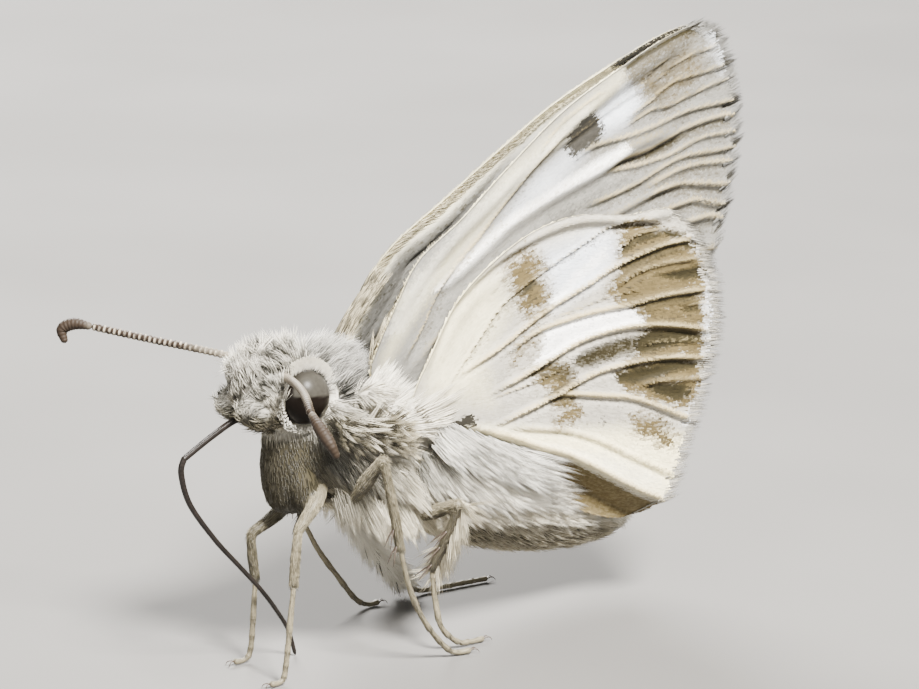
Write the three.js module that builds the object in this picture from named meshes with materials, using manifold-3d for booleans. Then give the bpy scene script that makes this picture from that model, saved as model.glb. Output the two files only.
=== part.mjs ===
// A white skipper butterfly at life size, standing with its wings closed above its back.
// Millimetres, +Z up. The head faces -Y and the animal's left side is +X. The floor is z = 0.
import * as THREE from 'three';
import { mergeVertices } from 'three/addons/utils/BufferGeometryUtils.js';
import Module from 'manifold-3d';

const wasm = await Module();
wasm.setup();

// ---- driving dimensions ----
const JOIN_GAP = 0.08; // clearance between two parts that meet
const WING_THICKNESS = 0.5;
const WING_LEAN = THREE.MathUtils.degToRad(6); // each wing leans in, so the tips nearly meet
const FOREWING_ROOT = new THREE.Vector3(1.5, -1.65, 8.5);
const HINDWING_ROOT = new THREE.Vector3(2.1, -1.2, 7.9);
// The right pair is swung a little further back than the left.
const WING_SWING = { left: 0, right: THREE.MathUtils.degToRad(0.6) };
const WING_SETBACK = { left: 0, right: 0.4 };
const THIGH_RADIUS = 0.35;
const LEG_RADIUS = 0.27;
const FOOT_RADIUS = 0.25;
const FEELER_RADIUS = 0.25;
const CLUB_RADIUS = 0.3;
const TONGUE_RADIUS = 0.25;
const EYE_CENTRE = new THREE.Vector3(1.0, -4.45, 8.93);
const EYE_RADII = new THREE.Vector3(0.76, 0.82, 0.88);
const BODY_SIDES = 18;
const LIMB_SIDES = 8;

// ---- materials ----
function finish(color, roughness) {
  return new THREE.MeshStandardMaterial({ color, roughness, metalness: 0 });
}
const coatFinish = finish('#d5d8d3', 0.9);
const wingFinish = finish('#e6dfd1', 0.75);
const eyeFinish = finish('#1a120b', 0.2);
const legFinish = finish('#cfc4a6', 0.6);
const feelerFinish = finish('#6e6152', 0.6);
const clubFinish = finish('#3d2a1b', 0.5);
const tongueFinish = finish('#2a2019', 0.35);

// ---- solids ----
function toSolid(geometry) {
  const bare = geometry.clone();
  bare.deleteAttribute('normal');
  bare.deleteAttribute('uv');
  const merged = mergeVertices(bare, 1e-4);
  const corners = [];
  const index = merged.index.array;
  for (let i = 0; i < index.length; i += 3) {
    const [a, b, c] = [index[i], index[i + 1], index[i + 2]];
    if (a !== b && b !== c && c !== a) corners.push(a, b, c);
  }
  const vertProperties = new Float32Array(merged.attributes.position.array);
  let triVerts = new Uint32Array(corners);
  if (signedVolume(vertProperties, triVerts) < 0) triVerts = triVerts.reverse();
  return new wasm.Manifold(new wasm.Mesh({ numProp: 3, vertProperties, triVerts }));
}

function signedVolume(positions, corners) {
  const [a, b, c] = [new THREE.Vector3(), new THREE.Vector3(), new THREE.Vector3()];
  let total = 0;
  for (let i = 0; i < corners.length; i += 3) {
    a.fromArray(positions, corners[i] * 3);
    b.fromArray(positions, corners[i + 1] * 3);
    c.fromArray(positions, corners[i + 2] * 3);
    total += a.dot(b.cross(c)) / 6;
  }
  return total;
}

function toGeometry(solid) {
  const mesh = solid.getMesh();
  const geometry = new THREE.BufferGeometry();
  geometry.setAttribute('position', new THREE.BufferAttribute(mesh.vertProperties, 3));
  geometry.setIndex(new THREE.BufferAttribute(mesh.triVerts, 1));
  geometry.computeVertexNormals();
  return geometry;
}

// The same solid with its surface moved out by the joining gap.
function grown(solid) {
  const geometry = toGeometry(solid);
  const { position, normal } = geometry.attributes;
  for (let i = 0; i < position.count; i++) {
    const moved = new THREE.Vector3().fromBufferAttribute(position, i);
    moved.addScaledVector(new THREE.Vector3().fromBufferAttribute(normal, i), JOIN_GAP);
    position.setXYZ(i, moved.x, moved.y, moved.z);
  }
  return toSolid(geometry);
}

// A solid cut clear of its neighbours; crumbs left by the cut are dropped.
function clearOf(solid, neighbours) {
  let result = solid;
  for (const neighbour of neighbours) result = result.subtract(grown(neighbour));
  return result.decompose().sort((a, b) => b.volume() - a.volume())[0];
}

// A round form along a path: a lathed column of unit radius, bent to the path and
// given its half-width (across) and half-height at each step.
function form({ path, size, sides = BODY_SIDES, stops, across = new THREE.Vector3(1, 0, 0) }) {
  const profile = stops.map((t, i) => {
    const onAxis = i === 0 || i === stops.length - 1;
    return new THREE.Vector2(onAxis ? 0 : 1, t);
  });
  const column = new THREE.LatheGeometry(profile, sides);
  const position = column.attributes.position;
  for (let i = 0; i < position.count; i++) {
    const t = THREE.MathUtils.clamp(position.getY(i), 0, 1);
    const centre = path.getPointAt(t);
    const along = path.getTangentAt(t);
    const wide = across.clone().addScaledVector(along, -across.dot(along)).normalize();
    const high = new THREE.Vector3().crossVectors(along, wide);
    const [halfWidth, halfHeight] = size(t);
    centre.addScaledVector(wide, position.getX(i) * halfWidth);
    centre.addScaledVector(high, position.getZ(i) * halfHeight);
    position.setXYZ(i, centre.x, centre.y, centre.z);
  }
  return toSolid(column);
}

function curve(points, side = 1) {
  const placed = points.map(([x, y, z]) => new THREE.Vector3(x * side, y, z));
  return new THREE.CatmullRomCurve3(placed, false, 'centripetal');
}

// A body form from a few stations along the middle plane: [y, z, half-width, half-height].
// The first and last stations are the two ends, where the form closes.
function bodyForm(stations, rings) {
  const path = curve(stations.map(([y, z]) => [0, y, z]));
  const sizes = curve(stations.map(([, , halfWidth, halfHeight]) => [halfWidth, halfHeight, 0]));
  const stops = Array.from({ length: rings + 1 }, (_, i) => (1 - Math.cos((Math.PI * i) / rings)) / 2);
  const size = (t) => {
    const { x: halfWidth, y: halfHeight } = sizes.getPoint(path.getUtoTmapping(t));
    return [Math.max(halfWidth, 0.01), Math.max(halfHeight, 0.01)];
  };
  return form({ path, size, stops });
}

// A limb of round section with rounded ends, tapering from one radius to the other.
function limb(points, startRadius, endRadius, steps, { side = 1, sides = LIMB_SIDES, flat = 1 } = {}) {
  const path = curve(points, side);
  const reach = path.getLength();
  const cap = (radius, amount) => (radius * amount) / reach;
  const inner = Array.from({ length: steps - 1 }, (_, i) => (i + 1) / steps)
    .filter((t) => t > cap(startRadius, 1.2) && t < 1 - cap(endRadius, 1.2));
  const stops = [0, cap(startRadius, 0.2), cap(startRadius, 0.8), ...inner];
  stops.push(1 - cap(endRadius, 0.8), 1 - cap(endRadius, 0.2), 1);
  const size = (t) => {
    const radius = THREE.MathUtils.lerp(startRadius, endRadius, t);
    const depth = Math.min(1, (Math.min(t, 1 - t) * reach) / radius);
    const round = radius * Math.sqrt(Math.max(1 - (1 - depth) ** 2, 1e-4));
    return [round * flat, round];
  };
  return form({ path, size, sides, stops });
}

function egg(centre, radii, widthSegments = 14, heightSegments = 9) {
  const ball = new THREE.SphereGeometry(1, widthSegments, heightSegments);
  ball.scale(radii.x, radii.y, radii.z);
  ball.translate(centre.x, centre.y, centre.z);
  return toSolid(ball);
}

function onSide(vector, side) {
  return new THREE.Vector3(vector.x * side, vector.y, vector.z);
}

// Everything below the floor is cut off, which leaves a small flat under each foot.
function standOnFloor(solid) {
  const below = new THREE.BoxGeometry(60, 60, 10);
  below.translate(0, 0, -5);
  return solid.subtract(toSolid(below));
}

// ---- the parts ----
const group = new THREE.Group();
const model = new THREE.Group();
group.add(model);

function add(name, solid, material) {
  const mesh = new THREE.Mesh(toGeometry(solid), material);
  mesh.name = name;
  model.add(mesh);
  return solid;
}

const sideNames = { left: 1, right: -1 };

// Head, with the eyes set into its sides. The outlines reach the tips of the coat.
const headBlock = bodyForm([
  [-3.75, 8.75, 0.02, 0.02],
  [-4.1, 8.85, 1.25, 1.2],
  [-4.7, 9.05, 1.5, 1.5],
  [-5.4, 9.15, 1.4, 1.45],
  [-6.0, 9.1, 1.15, 1.15],
  [-6.4, 9.0, 0.02, 0.02],
], 9);
const eyes = {};
for (const [name, side] of Object.entries(sideNames)) {
  eyes[name] = add(`eye_${name}`, egg(onSide(EYE_CENTRE, side), EYE_RADII), eyeFinish);
}
const head = add('head', clearOf(headBlock, [eyes.left, eyes.right]), coatFinish);

// Labial palps: two thick brushes pushed forward from under the face.
const palps = {};
for (const [name, side] of Object.entries(sideNames)) {
  const brush = limb([[0.6, -5.5, 8.1], [0.6, -6.3, 8.55], [0.62, -6.95, 9.0]], 0.6, 0.54, 5, { side, sides: 10 });
  const neighbours = [head, eyes[name]];
  if (palps.left) neighbours.push(palps.left);
  palps[name] = add(`palp_${name}`, clearOf(brush, neighbours), coatFinish);
}

// Collar of raised hair behind the head, and the deep thorax with the fore coxae under it.
const collar = add('collar', clearOf(bodyForm([
  [-4.25, 9.6, 0.02, 0.02],
  [-3.9, 9.45, 1.1, 0.85],
  [-3.2, 9.2, 1.55, 1.3],
  [-2.5, 8.9, 1.5, 1.25],
  [-1.9, 8.6, 0.02, 0.02],
], 7), [head, eyes.left, eyes.right]), coatFinish);
const thoraxBlock = bodyForm([
  [-4.45, 8.1, 0.02, 0.02],
  [-3.9, 7.85, 1.55, 1.75],
  [-2.9, 7.4, 2.05, 2.35],
  [-1.7, 6.8, 2.2, 2.45],
  [-0.5, 6.1, 2.0, 2.2],
  [0.5, 5.5, 1.6, 1.75],
  [1.1, 5.1, 0.02, 0.02],
], 11);
const chest = egg(new THREE.Vector3(0, -4.15, 6.45), new THREE.Vector3(1.3, 1.4, 1.5), 16, 9);
const thorax = add('thorax', clearOf(thoraxBlock.add(chest), [
  head, collar, eyes.left, eyes.right, palps.left, palps.right,
]), coatFinish);

const abdomen = add('abdomen', clearOf(bodyForm([
  [0.0, 5.7, 0.02, 0.02],
  [0.7, 5.3, 1.65, 1.7],
  [2.2, 4.45, 1.8, 1.75],
  [4.0, 3.65, 1.65, 1.6],
  [6.0, 3.05, 1.4, 1.35],
  [7.7, 2.7, 1.1, 1.0],
  [8.6, 2.5, 0.7, 0.6],
  [8.85, 2.45, 0.02, 0.02],
], 13), [thorax]), coatFinish);

// Tegulae: the small scaled lobes that cover the forewing roots.
const tegulae = {};
for (const [name, side] of Object.entries(sideNames)) {
  const lobe = egg(onSide(new THREE.Vector3(1.75, -2.3, 8.95), side), new THREE.Vector3(0.4, 0.75, 0.55), 10, 6);
  tegulae[name] = add(`tegula_${name}`, clearOf(lobe, [thorax, collar, head, eyes[name]]), coatFinish);
}

// ---- wings ----
// Each outline is three edges in the wing's own plane, from its root: [back, up].
const forewingEdges = {
  costa: [[-0.2, -0.3], [-0.55, 0.85], [-0.3, 1.6], [0.6, 3.1], [1.55, 4.3], [3.3, 5.45], [5.25, 6.85],
    [7.5, 8.35], [9.9, 9.5], [11.7, 10.25], [13.2, 10.65]],
  outer: [[13.2, 10.65], [14.05, 10.4], [14.65, 8.9], [14.8, 7.0], [14.4, 5.3], [13.6, 3.0], [12.6, 1.3]],
  inner: [[12.6, 1.3], [11.8, 0.75], [8.0, -0.1], [4.0, -0.7], [0.6, -0.75], [-0.2, -0.3]],
};
const hindwingEdges = {
  costa: [[-0.1, 0.1], [0.5, 1.3], [1.38, 2.7], [2.3, 3.8], [3.87, 4.8], [5.51, 5.43], [7.13, 5.64],
    [9.0, 5.4], [10.4, 5.42], [11.3, 5.15]],
  outer: [[11.3, 5.15], [12.15, 4.2], [12.78, 2.4], [12.7, 1.0], [12.15, -0.7], [11.35, -2.4], [10.65, -3.9],
    [9.95, -4.75]],
  inner: [[9.95, -4.75], [8.5, -4.8], [7.0, -4.25], [5.3, -3.2], [3.3, -2.05], [1.2, -1.1], [-0.1, 0.1]],
};

function wingPlate({ costa, outer, inner }, root, name) {
  const side = sideNames[name];
  const outline = new THREE.Shape();
  outline.moveTo(...costa[0]);
  for (const edge of [costa, outer, inner]) {
    outline.splineThru(edge.slice(1).map(([back, up]) => new THREE.Vector2(back, up)));
  }
  const plate = new THREE.ExtrudeGeometry(outline, {
    depth: WING_THICKNESS,
    steps: 1,
    curveSegments: 3,
    bevelEnabled: false,
  });
  plate.translate(0, 0, -WING_THICKNESS / 2);
  plate.rotateZ(-WING_SWING[name]);
  const back = new THREE.Vector3(0, 1, 0);
  const up = new THREE.Vector3(-Math.sin(WING_LEAN) * side, 0, Math.cos(WING_LEAN));
  const out = new THREE.Vector3(Math.cos(WING_LEAN) * side, 0, Math.sin(WING_LEAN));
  const at = onSide(root, side).addScaledVector(back, WING_SETBACK[name]);
  const place = new THREE.Matrix4().makeBasis(back, up, out).setPosition(at);
  plate.applyMatrix4(place);
  return toSolid(plate);
}

for (const name of Object.keys(sideNames)) {
  const roots = [thorax, collar, tegulae[name], abdomen];
  add(`forewing_${name}`, clearOf(wingPlate(forewingEdges, FOREWING_ROOT, name), roots), wingFinish);
  add(`hindwing_${name}`, clearOf(wingPlate(hindwingEdges, HINDWING_ROOT, name), roots), wingFinish);
}

// ---- feelers and tongue ----
// Shaft from the head to the club, then the club with its bent tip.
const feelers = {
  left: {
    shaft: [[0.8, -5.1, 9.7], [2.4, -5.65, 9.85], [4.0, -6.35, 9.95], [5.4, -7.05, 9.86]],
    club: [[5.4, -7.05, 9.86], [6.05, -7.12, 9.5], [6.5, -7.05, 9.1], [6.64, -6.9, 8.7]],
  },
  right: {
    shaft: [[0.75, -5.3, 9.8], [1.6, -6.1, 10.05], [3.2, -7.5, 10.35], [4.7, -8.8, 10.65]],
    club: [[4.7, -8.8, 10.65], [5.15, -9.2, 10.7], [5.38, -9.5, 10.5], [5.2, -9.5, 10.1]],
  },
};
for (const [name, side] of Object.entries(sideNames)) {
  const { shaft, club } = feelers[name];
  const rod = limb(shaft, FEELER_RADIUS, FEELER_RADIUS, 7, { side });
  const placedRod = add(`antenna_${name}_shaft`, clearOf(rod, [head, eyes[name], palps[name]]), feelerFinish);
  const knob = limb(club, CLUB_RADIUS, FEELER_RADIUS, 5, { side });
  add(`antenna_${name}_club`, clearOf(knob, [placedRod]), clubFinish);
}

const tongueRoot = limb([[0, -5.9, 8.2], [0, -6.4, 8.25], [0, -7.3, 7.85], [0, -8.25, 7.33]],
  TONGUE_RADIUS, TONGUE_RADIUS, 4);
const placedRoot = add('proboscis_root', clearOf(tongueRoot, [
  head, palps.left, palps.right, thorax,
]), tongueFinish);
const tongueTip = limb([
  [0, -8.25, 7.33], [0, -8.4, 6.8], [0, -8.1, 5.77], [0, -7.2, 4.45], [0, -6.3, 3.6],
  [0, -5.5, 2.45], [0, -4.9, 1.6], [0, -4.5, 0.9], [0, -4.25, -0.1],
], TONGUE_RADIUS, TONGUE_RADIUS, 12);
add('proboscis_tip', standOnFloor(clearOf(tongueTip, [placedRoot])), tongueFinish);

// ---- legs ----
// Points from the root outward; the last point of each tarsus is sunk a little, so the
// floor cut leaves it a flat.
const SOLE = 0.12;
const legs = {
  fore_left: {
    side: 1,
    femur: [[0.7, -3.5, 6.0], [1.3, -4.25, 5.5], [1.6, -5.1, 4.8]],
    tibia: [[1.6, -5.1, 4.8], [1.8, -5.35, 4.0], [1.9, -5.5, 3.1]],
    tarsus: [[1.9, -5.5, 3.1], [2.05, -5.8, 1.5], [2.12, -6.0, 0.4], [2.15, -6.2, SOLE], [2.17, -6.6, SOLE]],
  },
  fore_right: {
    side: -1,
    femur: [[0.6, -3.4, 5.6], [0.6, -4.5, 4.7], [0.6, -5.5, 4.2]],
    tibia: [[0.6, -5.5, 4.2], [0.55, -5.48, 3.4], [0.5, -5.42, 2.66]],
    tarsus: [[0.5, -5.42, 2.66], [0.4, -5.6, 1.3], [0.33, -5.75, 0.4], [0.3, -6.0, SOLE], [0.3, -6.4, SOLE]],
  },
  mid_left: {
    side: 1,
    femur: [[1.2, -2.95, 5.1], [2.2, -2.9, 6.2], [3.0, -2.8, 7.1]],
    tibia: [[3.0, -2.8, 7.1], [3.15, -2.55, 5.5], [3.2, -2.3, 4.0]],
    tarsus: [[3.2, -2.3, 4.0], [3.15, -1.9, 2.6], [3.08, -1.25, 1.35], [2.98, -0.4, 0.35], [3.02, 0.0, SOLE],
      [3.1, 0.5, SOLE]],
  },
  mid_right: {
    side: -1,
    femur: [[1.2, -2.95, 5.1], [2.2, -2.9, 6.1], [2.95, -2.7, 6.8]],
    tibia: [[2.95, -2.7, 6.8], [3.0, -2.4, 5.0], [2.9, -2.0, 3.3]],
    tarsus: [[2.9, -2.0, 3.3], [2.8, -1.5, 2.3], [2.7, -0.9, 1.4], [2.65, -0.2, 0.45], [2.65, 0.3, SOLE],
      [2.65, 0.8, SOLE]],
  },
  hind_left: {
    side: 1,
    femur: [[1.1, -1.0, 4.4], [1.9, -0.4, 4.6], [3.2, 0.0, 5.2]],
    tibia: [[3.2, 0.0, 5.2], [2.6, -0.1, 3.9], [2.0, -0.28, 2.7]],
    tarsus: [[2.0, -0.28, 2.7], [2.2, -0.28, 1.7], [2.42, -0.2, 0.86], [2.42, 0.4, 0.25], [2.42, 0.9, SOLE],
      [2.4, 1.5, SOLE]],
  },
  hind_right: {
    side: -1,
    femur: [[1.0, -1.3, 4.9], [1.9, -1.1, 4.3], [2.65, -0.8, 3.75]],
    tibia: [[2.65, -0.8, 3.75], [2.75, 0.5, 2.2], [2.8, 1.85, 0.6]],
    tarsus: [[2.8, 1.85, 0.6], [2.78, 2.4, 0.2], [2.75, 3.1, SOLE], [2.6, 5.2, SOLE]],
  },
};
for (const [name, { side, femur, tibia, tarsus }] of Object.entries(legs)) {
  const nearby = [thorax, abdomen];
  if (name.startsWith('fore')) nearby.push(palps.left, palps.right);
  const thigh = limb(femur, THIGH_RADIUS, LEG_RADIUS, 3, { side });
  const upper = add(`${name}_femur`, clearOf(thigh, nearby), legFinish);
  const shin = clearOf(limb(tibia, LEG_RADIUS, LEG_RADIUS, 3, { side }), [upper, ...nearby]);
  add(`${name}_tibia`, shin, legFinish);
  const lower = clearOf(limb(tarsus, FOOT_RADIUS, FOOT_RADIUS, 8, { side }), [shin]);
  add(`${name}_tarsus`, standOnFloor(lower), legFinish);
}

// ---- origin: under the middle of the model, on the floor ----
const extent = new THREE.Box3().setFromObject(model);
const middle = extent.getCenter(new THREE.Vector3());
model.position.set(-middle.x, -middle.y, 0);
group.updateMatrixWorld(true);

export default group;
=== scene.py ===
import math

import bpy
import numpy as np
from mathutils import Matrix, Vector
from mathutils.kdtree import KDTree


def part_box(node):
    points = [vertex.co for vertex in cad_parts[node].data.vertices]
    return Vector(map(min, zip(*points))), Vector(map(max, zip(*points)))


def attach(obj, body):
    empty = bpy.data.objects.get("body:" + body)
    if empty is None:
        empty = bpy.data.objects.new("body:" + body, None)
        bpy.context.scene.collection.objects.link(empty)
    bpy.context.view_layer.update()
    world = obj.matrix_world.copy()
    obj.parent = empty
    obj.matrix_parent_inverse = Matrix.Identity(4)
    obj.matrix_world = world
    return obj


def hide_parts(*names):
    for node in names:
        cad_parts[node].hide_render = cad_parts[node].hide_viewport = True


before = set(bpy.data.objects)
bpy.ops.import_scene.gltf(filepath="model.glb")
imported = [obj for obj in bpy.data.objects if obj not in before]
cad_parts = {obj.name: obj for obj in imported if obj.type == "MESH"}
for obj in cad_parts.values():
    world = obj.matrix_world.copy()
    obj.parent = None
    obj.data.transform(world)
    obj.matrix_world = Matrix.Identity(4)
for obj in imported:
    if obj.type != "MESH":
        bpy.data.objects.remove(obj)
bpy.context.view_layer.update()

mm = 0.001

# Every piece is made in millimetres about the wing roots, then settled into the frame.
eye = {"centre": (1.0, -4.45, 8.93), "radii": (0.76, 0.82, 0.88)}
eyeLow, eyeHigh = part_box("eye_left")
rowShift = (eyeLow + eyeHigh) / 2 - Vector(eye["centre"]) * mm
intoRow = Matrix.Translation(rowShift) @ Matrix.Scale(mm, 4)
sides = {"left": 1, "right": -1}
fullTurn = 2 * math.pi


# curves and fields

def rise(x, low, high):  # a smooth step from 0 to 1
    t = np.clip((x - low) / (high - low), 0, 1)
    return t * t * (3 - 2 * t)


def bell(gap, width):
    return np.exp(-((gap / width) ** 2))


def normalised(vectors):
    return vectors / np.linalg.norm(vectors, axis=-1, keepdims=True)


def girth(radii, count):  # a few radii spread evenly over a length
    return np.interp(np.linspace(0, 1, count), np.linspace(0, 1, len(radii)), radii)


def mirrored(points, side):
    return np.array(points, float) * (side, 1, 1)


def spline(points, count):  # even points along a smooth curve
    p = np.array(points, float)
    p = np.vstack([2 * p[0] - p[1], p, 2 * p[-1] - p[-2]])
    t = np.linspace(0, 1, 24, endpoint=False)[:, None]
    fine = []
    for i in range(1, len(p) - 2):
        a, b, c, d = p[i - 1:i + 3]
        bend = (2 * a - 5 * b + 4 * c - d) * t**2 + (-a + 3 * b - 3 * c + d) * t**3
        fine.append(b + 0.5 * ((c - a) * t + bend))
    fine = np.vstack([*fine, p[-2:-1]])
    reach = np.r_[0, np.cumsum(np.linalg.norm(np.diff(fine, axis=0), axis=1))]
    at = np.linspace(0, reach[-1], count)
    return np.stack([np.interp(at, reach, fine[:, k]) for k in range(p.shape[1])], 1)


def nearPath(points, path):  # distance, side of the path (above is positive), share of its length
    best = np.full(len(points), 1e9)
    side, share = np.zeros((2, len(points)))
    steps = np.linalg.norm(np.diff(path, axis=0), axis=1)
    reach = np.r_[0, np.cumsum(steps)] / steps.sum()
    for i in range(len(path) - 1):
        a, d = path[i], path[i + 1] - path[i]
        t = np.clip(((points - a) @ d) / (d @ d), 0, 1)
        off = points - a - t[:, None] * d
        gap = np.hypot(off[:, 0], off[:, 1])
        nearer = gap < best
        best = np.where(nearer, gap, best)
        side = np.where(nearer, np.sign(d[0] * off[:, 1] - d[1] * off[:, 0]), side)
        share = np.where(nearer, reach[i] + t * (reach[i + 1] - reach[i]), share)
    return best, side, share


def depthInside(points, corners):  # how far inside a closed outline, negative outside
    ring = np.array([*corners, corners[0]], float)
    gap = nearPath(points, ring)[0]
    x, y = points.T
    odd = np.zeros(len(points), bool)
    for (x0, y0), (x1, y1) in zip(ring[:-1], ring[1:]):
        crosses = (y0 > y) != (y1 > y)
        odd ^= crosses & (x < (x1 - x0) * (y - y0) / (y1 - y0 + 1e-12) + x0)
    return np.where(odd, gap, -gap)


def wander(points, wave, seed):  # a smooth stray vector for each point, about one unit long
    rng = np.random.default_rng(seed)
    if points.shape[1] == 2:
        points = np.column_stack([points, 0 * points[:, 0]])
    total = np.zeros((len(points), 3))
    for _ in range(4):
        bearing, start = rng.normal(size=(3, 3)), rng.uniform(0, 6.3, 3)
        total += np.sin(points @ (bearing * 4.0 / wave) + start)
    return total / 2


# meshes

def inScene(name, data):
    thing = bpy.data.objects.new(name, data)
    bpy.context.scene.collection.objects.link(thing)
    return thing


def meshFrom(name, points, faces):
    points = np.asarray(points, float)
    corners = np.array([(f[0], f[i], f[i + 1]) for f in faces for i in range(1, len(f) - 1)])
    a, b, c = (points[corners[:, k]] for k in range(3))
    if (a * np.cross(b, c)).sum() < 0:  # inside out
        faces = [f[::-1] for f in faces]
    mesh = bpy.data.meshes.new(name)
    mesh.from_pydata(points.tolist(), [], faces)
    mesh.shade_smooth()
    mesh.update()
    return mesh


def setValues(mesh, **values):  # a number or vector for each point, or one number for them all
    for name, data in values.items():
        data = np.asarray(data, np.float32)
        if data.ndim == 0:
            data = np.full(len(mesh.vertices), data)
        if name in mesh.attributes:
            mesh.attributes.remove(mesh.attributes[name])
        layer = mesh.attributes.new(name, "FLOAT_VECTOR" if data.ndim == 2 else "FLOAT", "POINT")
        layer.data.foreach_set("vector" if data.ndim == 2 else "value", data.ravel())


def readValues(layer, key, width=1, kind=float):
    data = np.zeros(len(layer) * width, kind)
    layer.foreach_get(key, data)
    return data.reshape(-1, width).squeeze()


def joined(parts):  # several (points, faces) as one
    points, faces, start = [], [], 0
    for p, f in parts:
        points.append(p)
        faces += [[i + start for i in face] for face in f]
        start += len(p)
    return np.vstack(points), faces


def sweep(path, wide, high, across=(1, 0, 0), around=24):  # a closed round form along a path
    path, across = np.asarray(path, float), np.array(across, float)
    along = normalised(np.gradient(path, axis=0))
    w = normalised(across - (along @ across)[:, None] * along)
    h = np.cross(along, w)
    turn = np.linspace(0, fullTurn, around, endpoint=False)
    wide, high = (np.broadcast_to(size, len(path))[:, None, None] for size in (wide, high))
    ring = wide * np.cos(turn)[None, :, None] * w[:, None] + high * np.sin(turn)[None, :, None] * h[:, None]
    points = np.vstack([(path[:, None] + ring).reshape(-1, 3), path[0], path[-1]])
    first = len(path) * around
    faces = []
    for start in range(0, first - around, around):
        for k in range(around):
            a, b = start + k, start + (k + 1) % around
            faces.append([a, b, b + around, a + around])
    for k in range(around):
        after, end = (k + 1) % around, first - around
        faces += [[first, after, k], [first + 1, end + k, end + after]]
    share = np.r_[np.repeat(np.linspace(0, 1, len(path)), around), 0, 1]
    angle = np.r_[np.tile(turn / fullTurn, len(path)), 0.5, 0.5]
    tangent = np.vstack([np.repeat(along, around, axis=0), along[0], along[-1]])
    return points, faces, {"share": share, "angle": angle, "tangent": tangent}


def band(name, rows, share, onMap=(0.1, 0.9, 0.3, 0.7), turned=False, **values):
    # a narrow ground between two rows of points; a value for one row serves both
    count = len(share)
    faces = [[j, j + 1, count + j + 1, count + j] for j in range(count - 1)]
    mesh = bpy.data.meshes.new(name)
    mesh.from_pydata(np.vstack(rows).tolist(), [], [f[::-1] for f in faces] if turned else faces)
    left, right, low, high = onMap
    across = left + (right - left) * share
    place = np.column_stack([np.r_[across, across], np.repeat([low, high], count), np.zeros(2 * count)])
    for key, value in values.items():
        if np.shape(value)[:1] == (count,):
            values[key] = np.concatenate([value, value])
    setValues(mesh, lift=0.0, place=place, **values)
    return mesh


def settle(name, mesh, slot, *nodes):
    mesh.transform(intoRow)
    mesh.name = name
    piece = inScene(name, mesh)
    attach(piece, "root")
    if nodes:
        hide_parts(*nodes)
    print(f"{name}: {sum(len(p.vertices) - 2 for p in mesh.polygons)} triangles")


# materials

def put(tree, kind, inputs=None, **settings):
    node = tree.nodes.new(kind)
    for key, value in settings.items():
        setattr(node, key, value)
    for key, value in (inputs or {}).items():
        if isinstance(value, bpy.types.NodeSocket):
            tree.links.new(value, node.inputs[key])
        else:
            node.inputs[key].default_value = value
    return node


def calc(tree, operation, a, b=0.0, clamp=False):
    return put(tree, "ShaderNodeMath", {0: a, 1: b}, operation=operation, use_clamp=clamp).outputs[0]


def remap(tree, value, low, high, toLow=0.0, toHigh=1.0):
    return put(tree, "ShaderNodeMapRange", {0: value, 1: low, 2: high, 3: toLow, 4: toHigh}).outputs[0]


def mixed(tree, factor, a, b, blend="MIX"):
    node = put(tree, "ShaderNodeMix", {0: factor, 6: a, 7: b}, data_type="RGBA", blend_type=blend)
    return node.outputs[2]


def toned(tree, base, tone):  # a colour made lighter or darker
    grey = put(tree, "ShaderNodeCombineColor", {0: tone, 1: tone, 2: tone}).outputs[0]
    return mixed(tree, 1.0, base, grey, "MULTIPLY")


def colour(r, g, b):
    return (r, g, b, 1.0)


def attribute(tree, name):
    return put(tree, "ShaderNodeAttribute", attribute_name=name).outputs["Fac"]


def noise(tree, scale, detail=2.0):
    vector = put(tree, "ShaderNodeTexCoord").outputs["Object"]
    return put(tree, "ShaderNodeTexNoise", {"Vector": vector, "Scale": scale, "Detail": detail}).outputs[0]


def newMaterial(name, roughness, specular=0.5, sheen=0.0):
    material = bpy.data.materials.new(name)
    material.use_nodes = True
    tree = material.node_tree
    tree.nodes.clear()
    shader = put(tree, "ShaderNodeBsdfPrincipled", {
        "Roughness": roughness, "Specular IOR Level": specular, "Sheen Weight": sheen})
    put(tree, "ShaderNodeOutputMaterial", {0: shader.outputs[0]})
    return material, tree, shader


def coloured(tree, shader, base, height, strength, depth):
    tree.links.new(base, shader.inputs["Base Color"])
    bump = put(tree, "ShaderNodeBump", {"Strength": strength, "Distance": depth, "Height": height})
    tree.links.new(bump.outputs[0], shader.inputs["Normal"])


def grainGroup():  # fine grain for every surface: a height and a slow change of tone
    group = bpy.data.node_groups.new("grain", "ShaderNodeTree")
    for name, way in (("Scale", "INPUT"), ("Height", "OUTPUT"), ("Tone", "OUTPUT")):
        group.interface.new_socket(name, in_out=way, socket_type="NodeSocketFloat")
    scale = put(group, "NodeGroupInput").outputs["Scale"]
    fine = noise(group, scale, 3.0)
    slow = noise(group, calc(group, "MULTIPLY", scale, 0.06))
    put(group, "NodeGroupOutput", {0: fine, 1: remap(group, slow, 0.3, 0.7, 0.9, 1.06)})
    return group


grain = grainGroup()


def withGrain(tree, shader, base, scale, strength):
    group = put(tree, "ShaderNodeGroup", {"Scale": scale}, node_tree=grain)
    coloured(tree, shader, toned(tree, base, group.outputs["Tone"]), group.outputs["Height"], strength, 0.00002)


wingColours = {
    "forewing": colour(0.165, 0.160, 0.143), "hindwing": colour(0.36, 0.338, 0.285),
    # the brightest white is whiter scales, and also a painted highlight on lit folds
    "shine": colour(0.97, 0.96, 0.93), "cream": colour(0.88, 0.80, 0.50), "blue": colour(0.66, 0.70, 0.76),
    # the olive also stands as painted shade in troughs, hollows and the gap between the wings
    "tan": colour(0.098, 0.073, 0.031), "oliveAndShade": colour(0.020, 0.016, 0.006),
    "grey": colour(0.022, 0.020, 0.015), "pale": colour(0.56, 0.46, 0.25),
}
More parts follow.
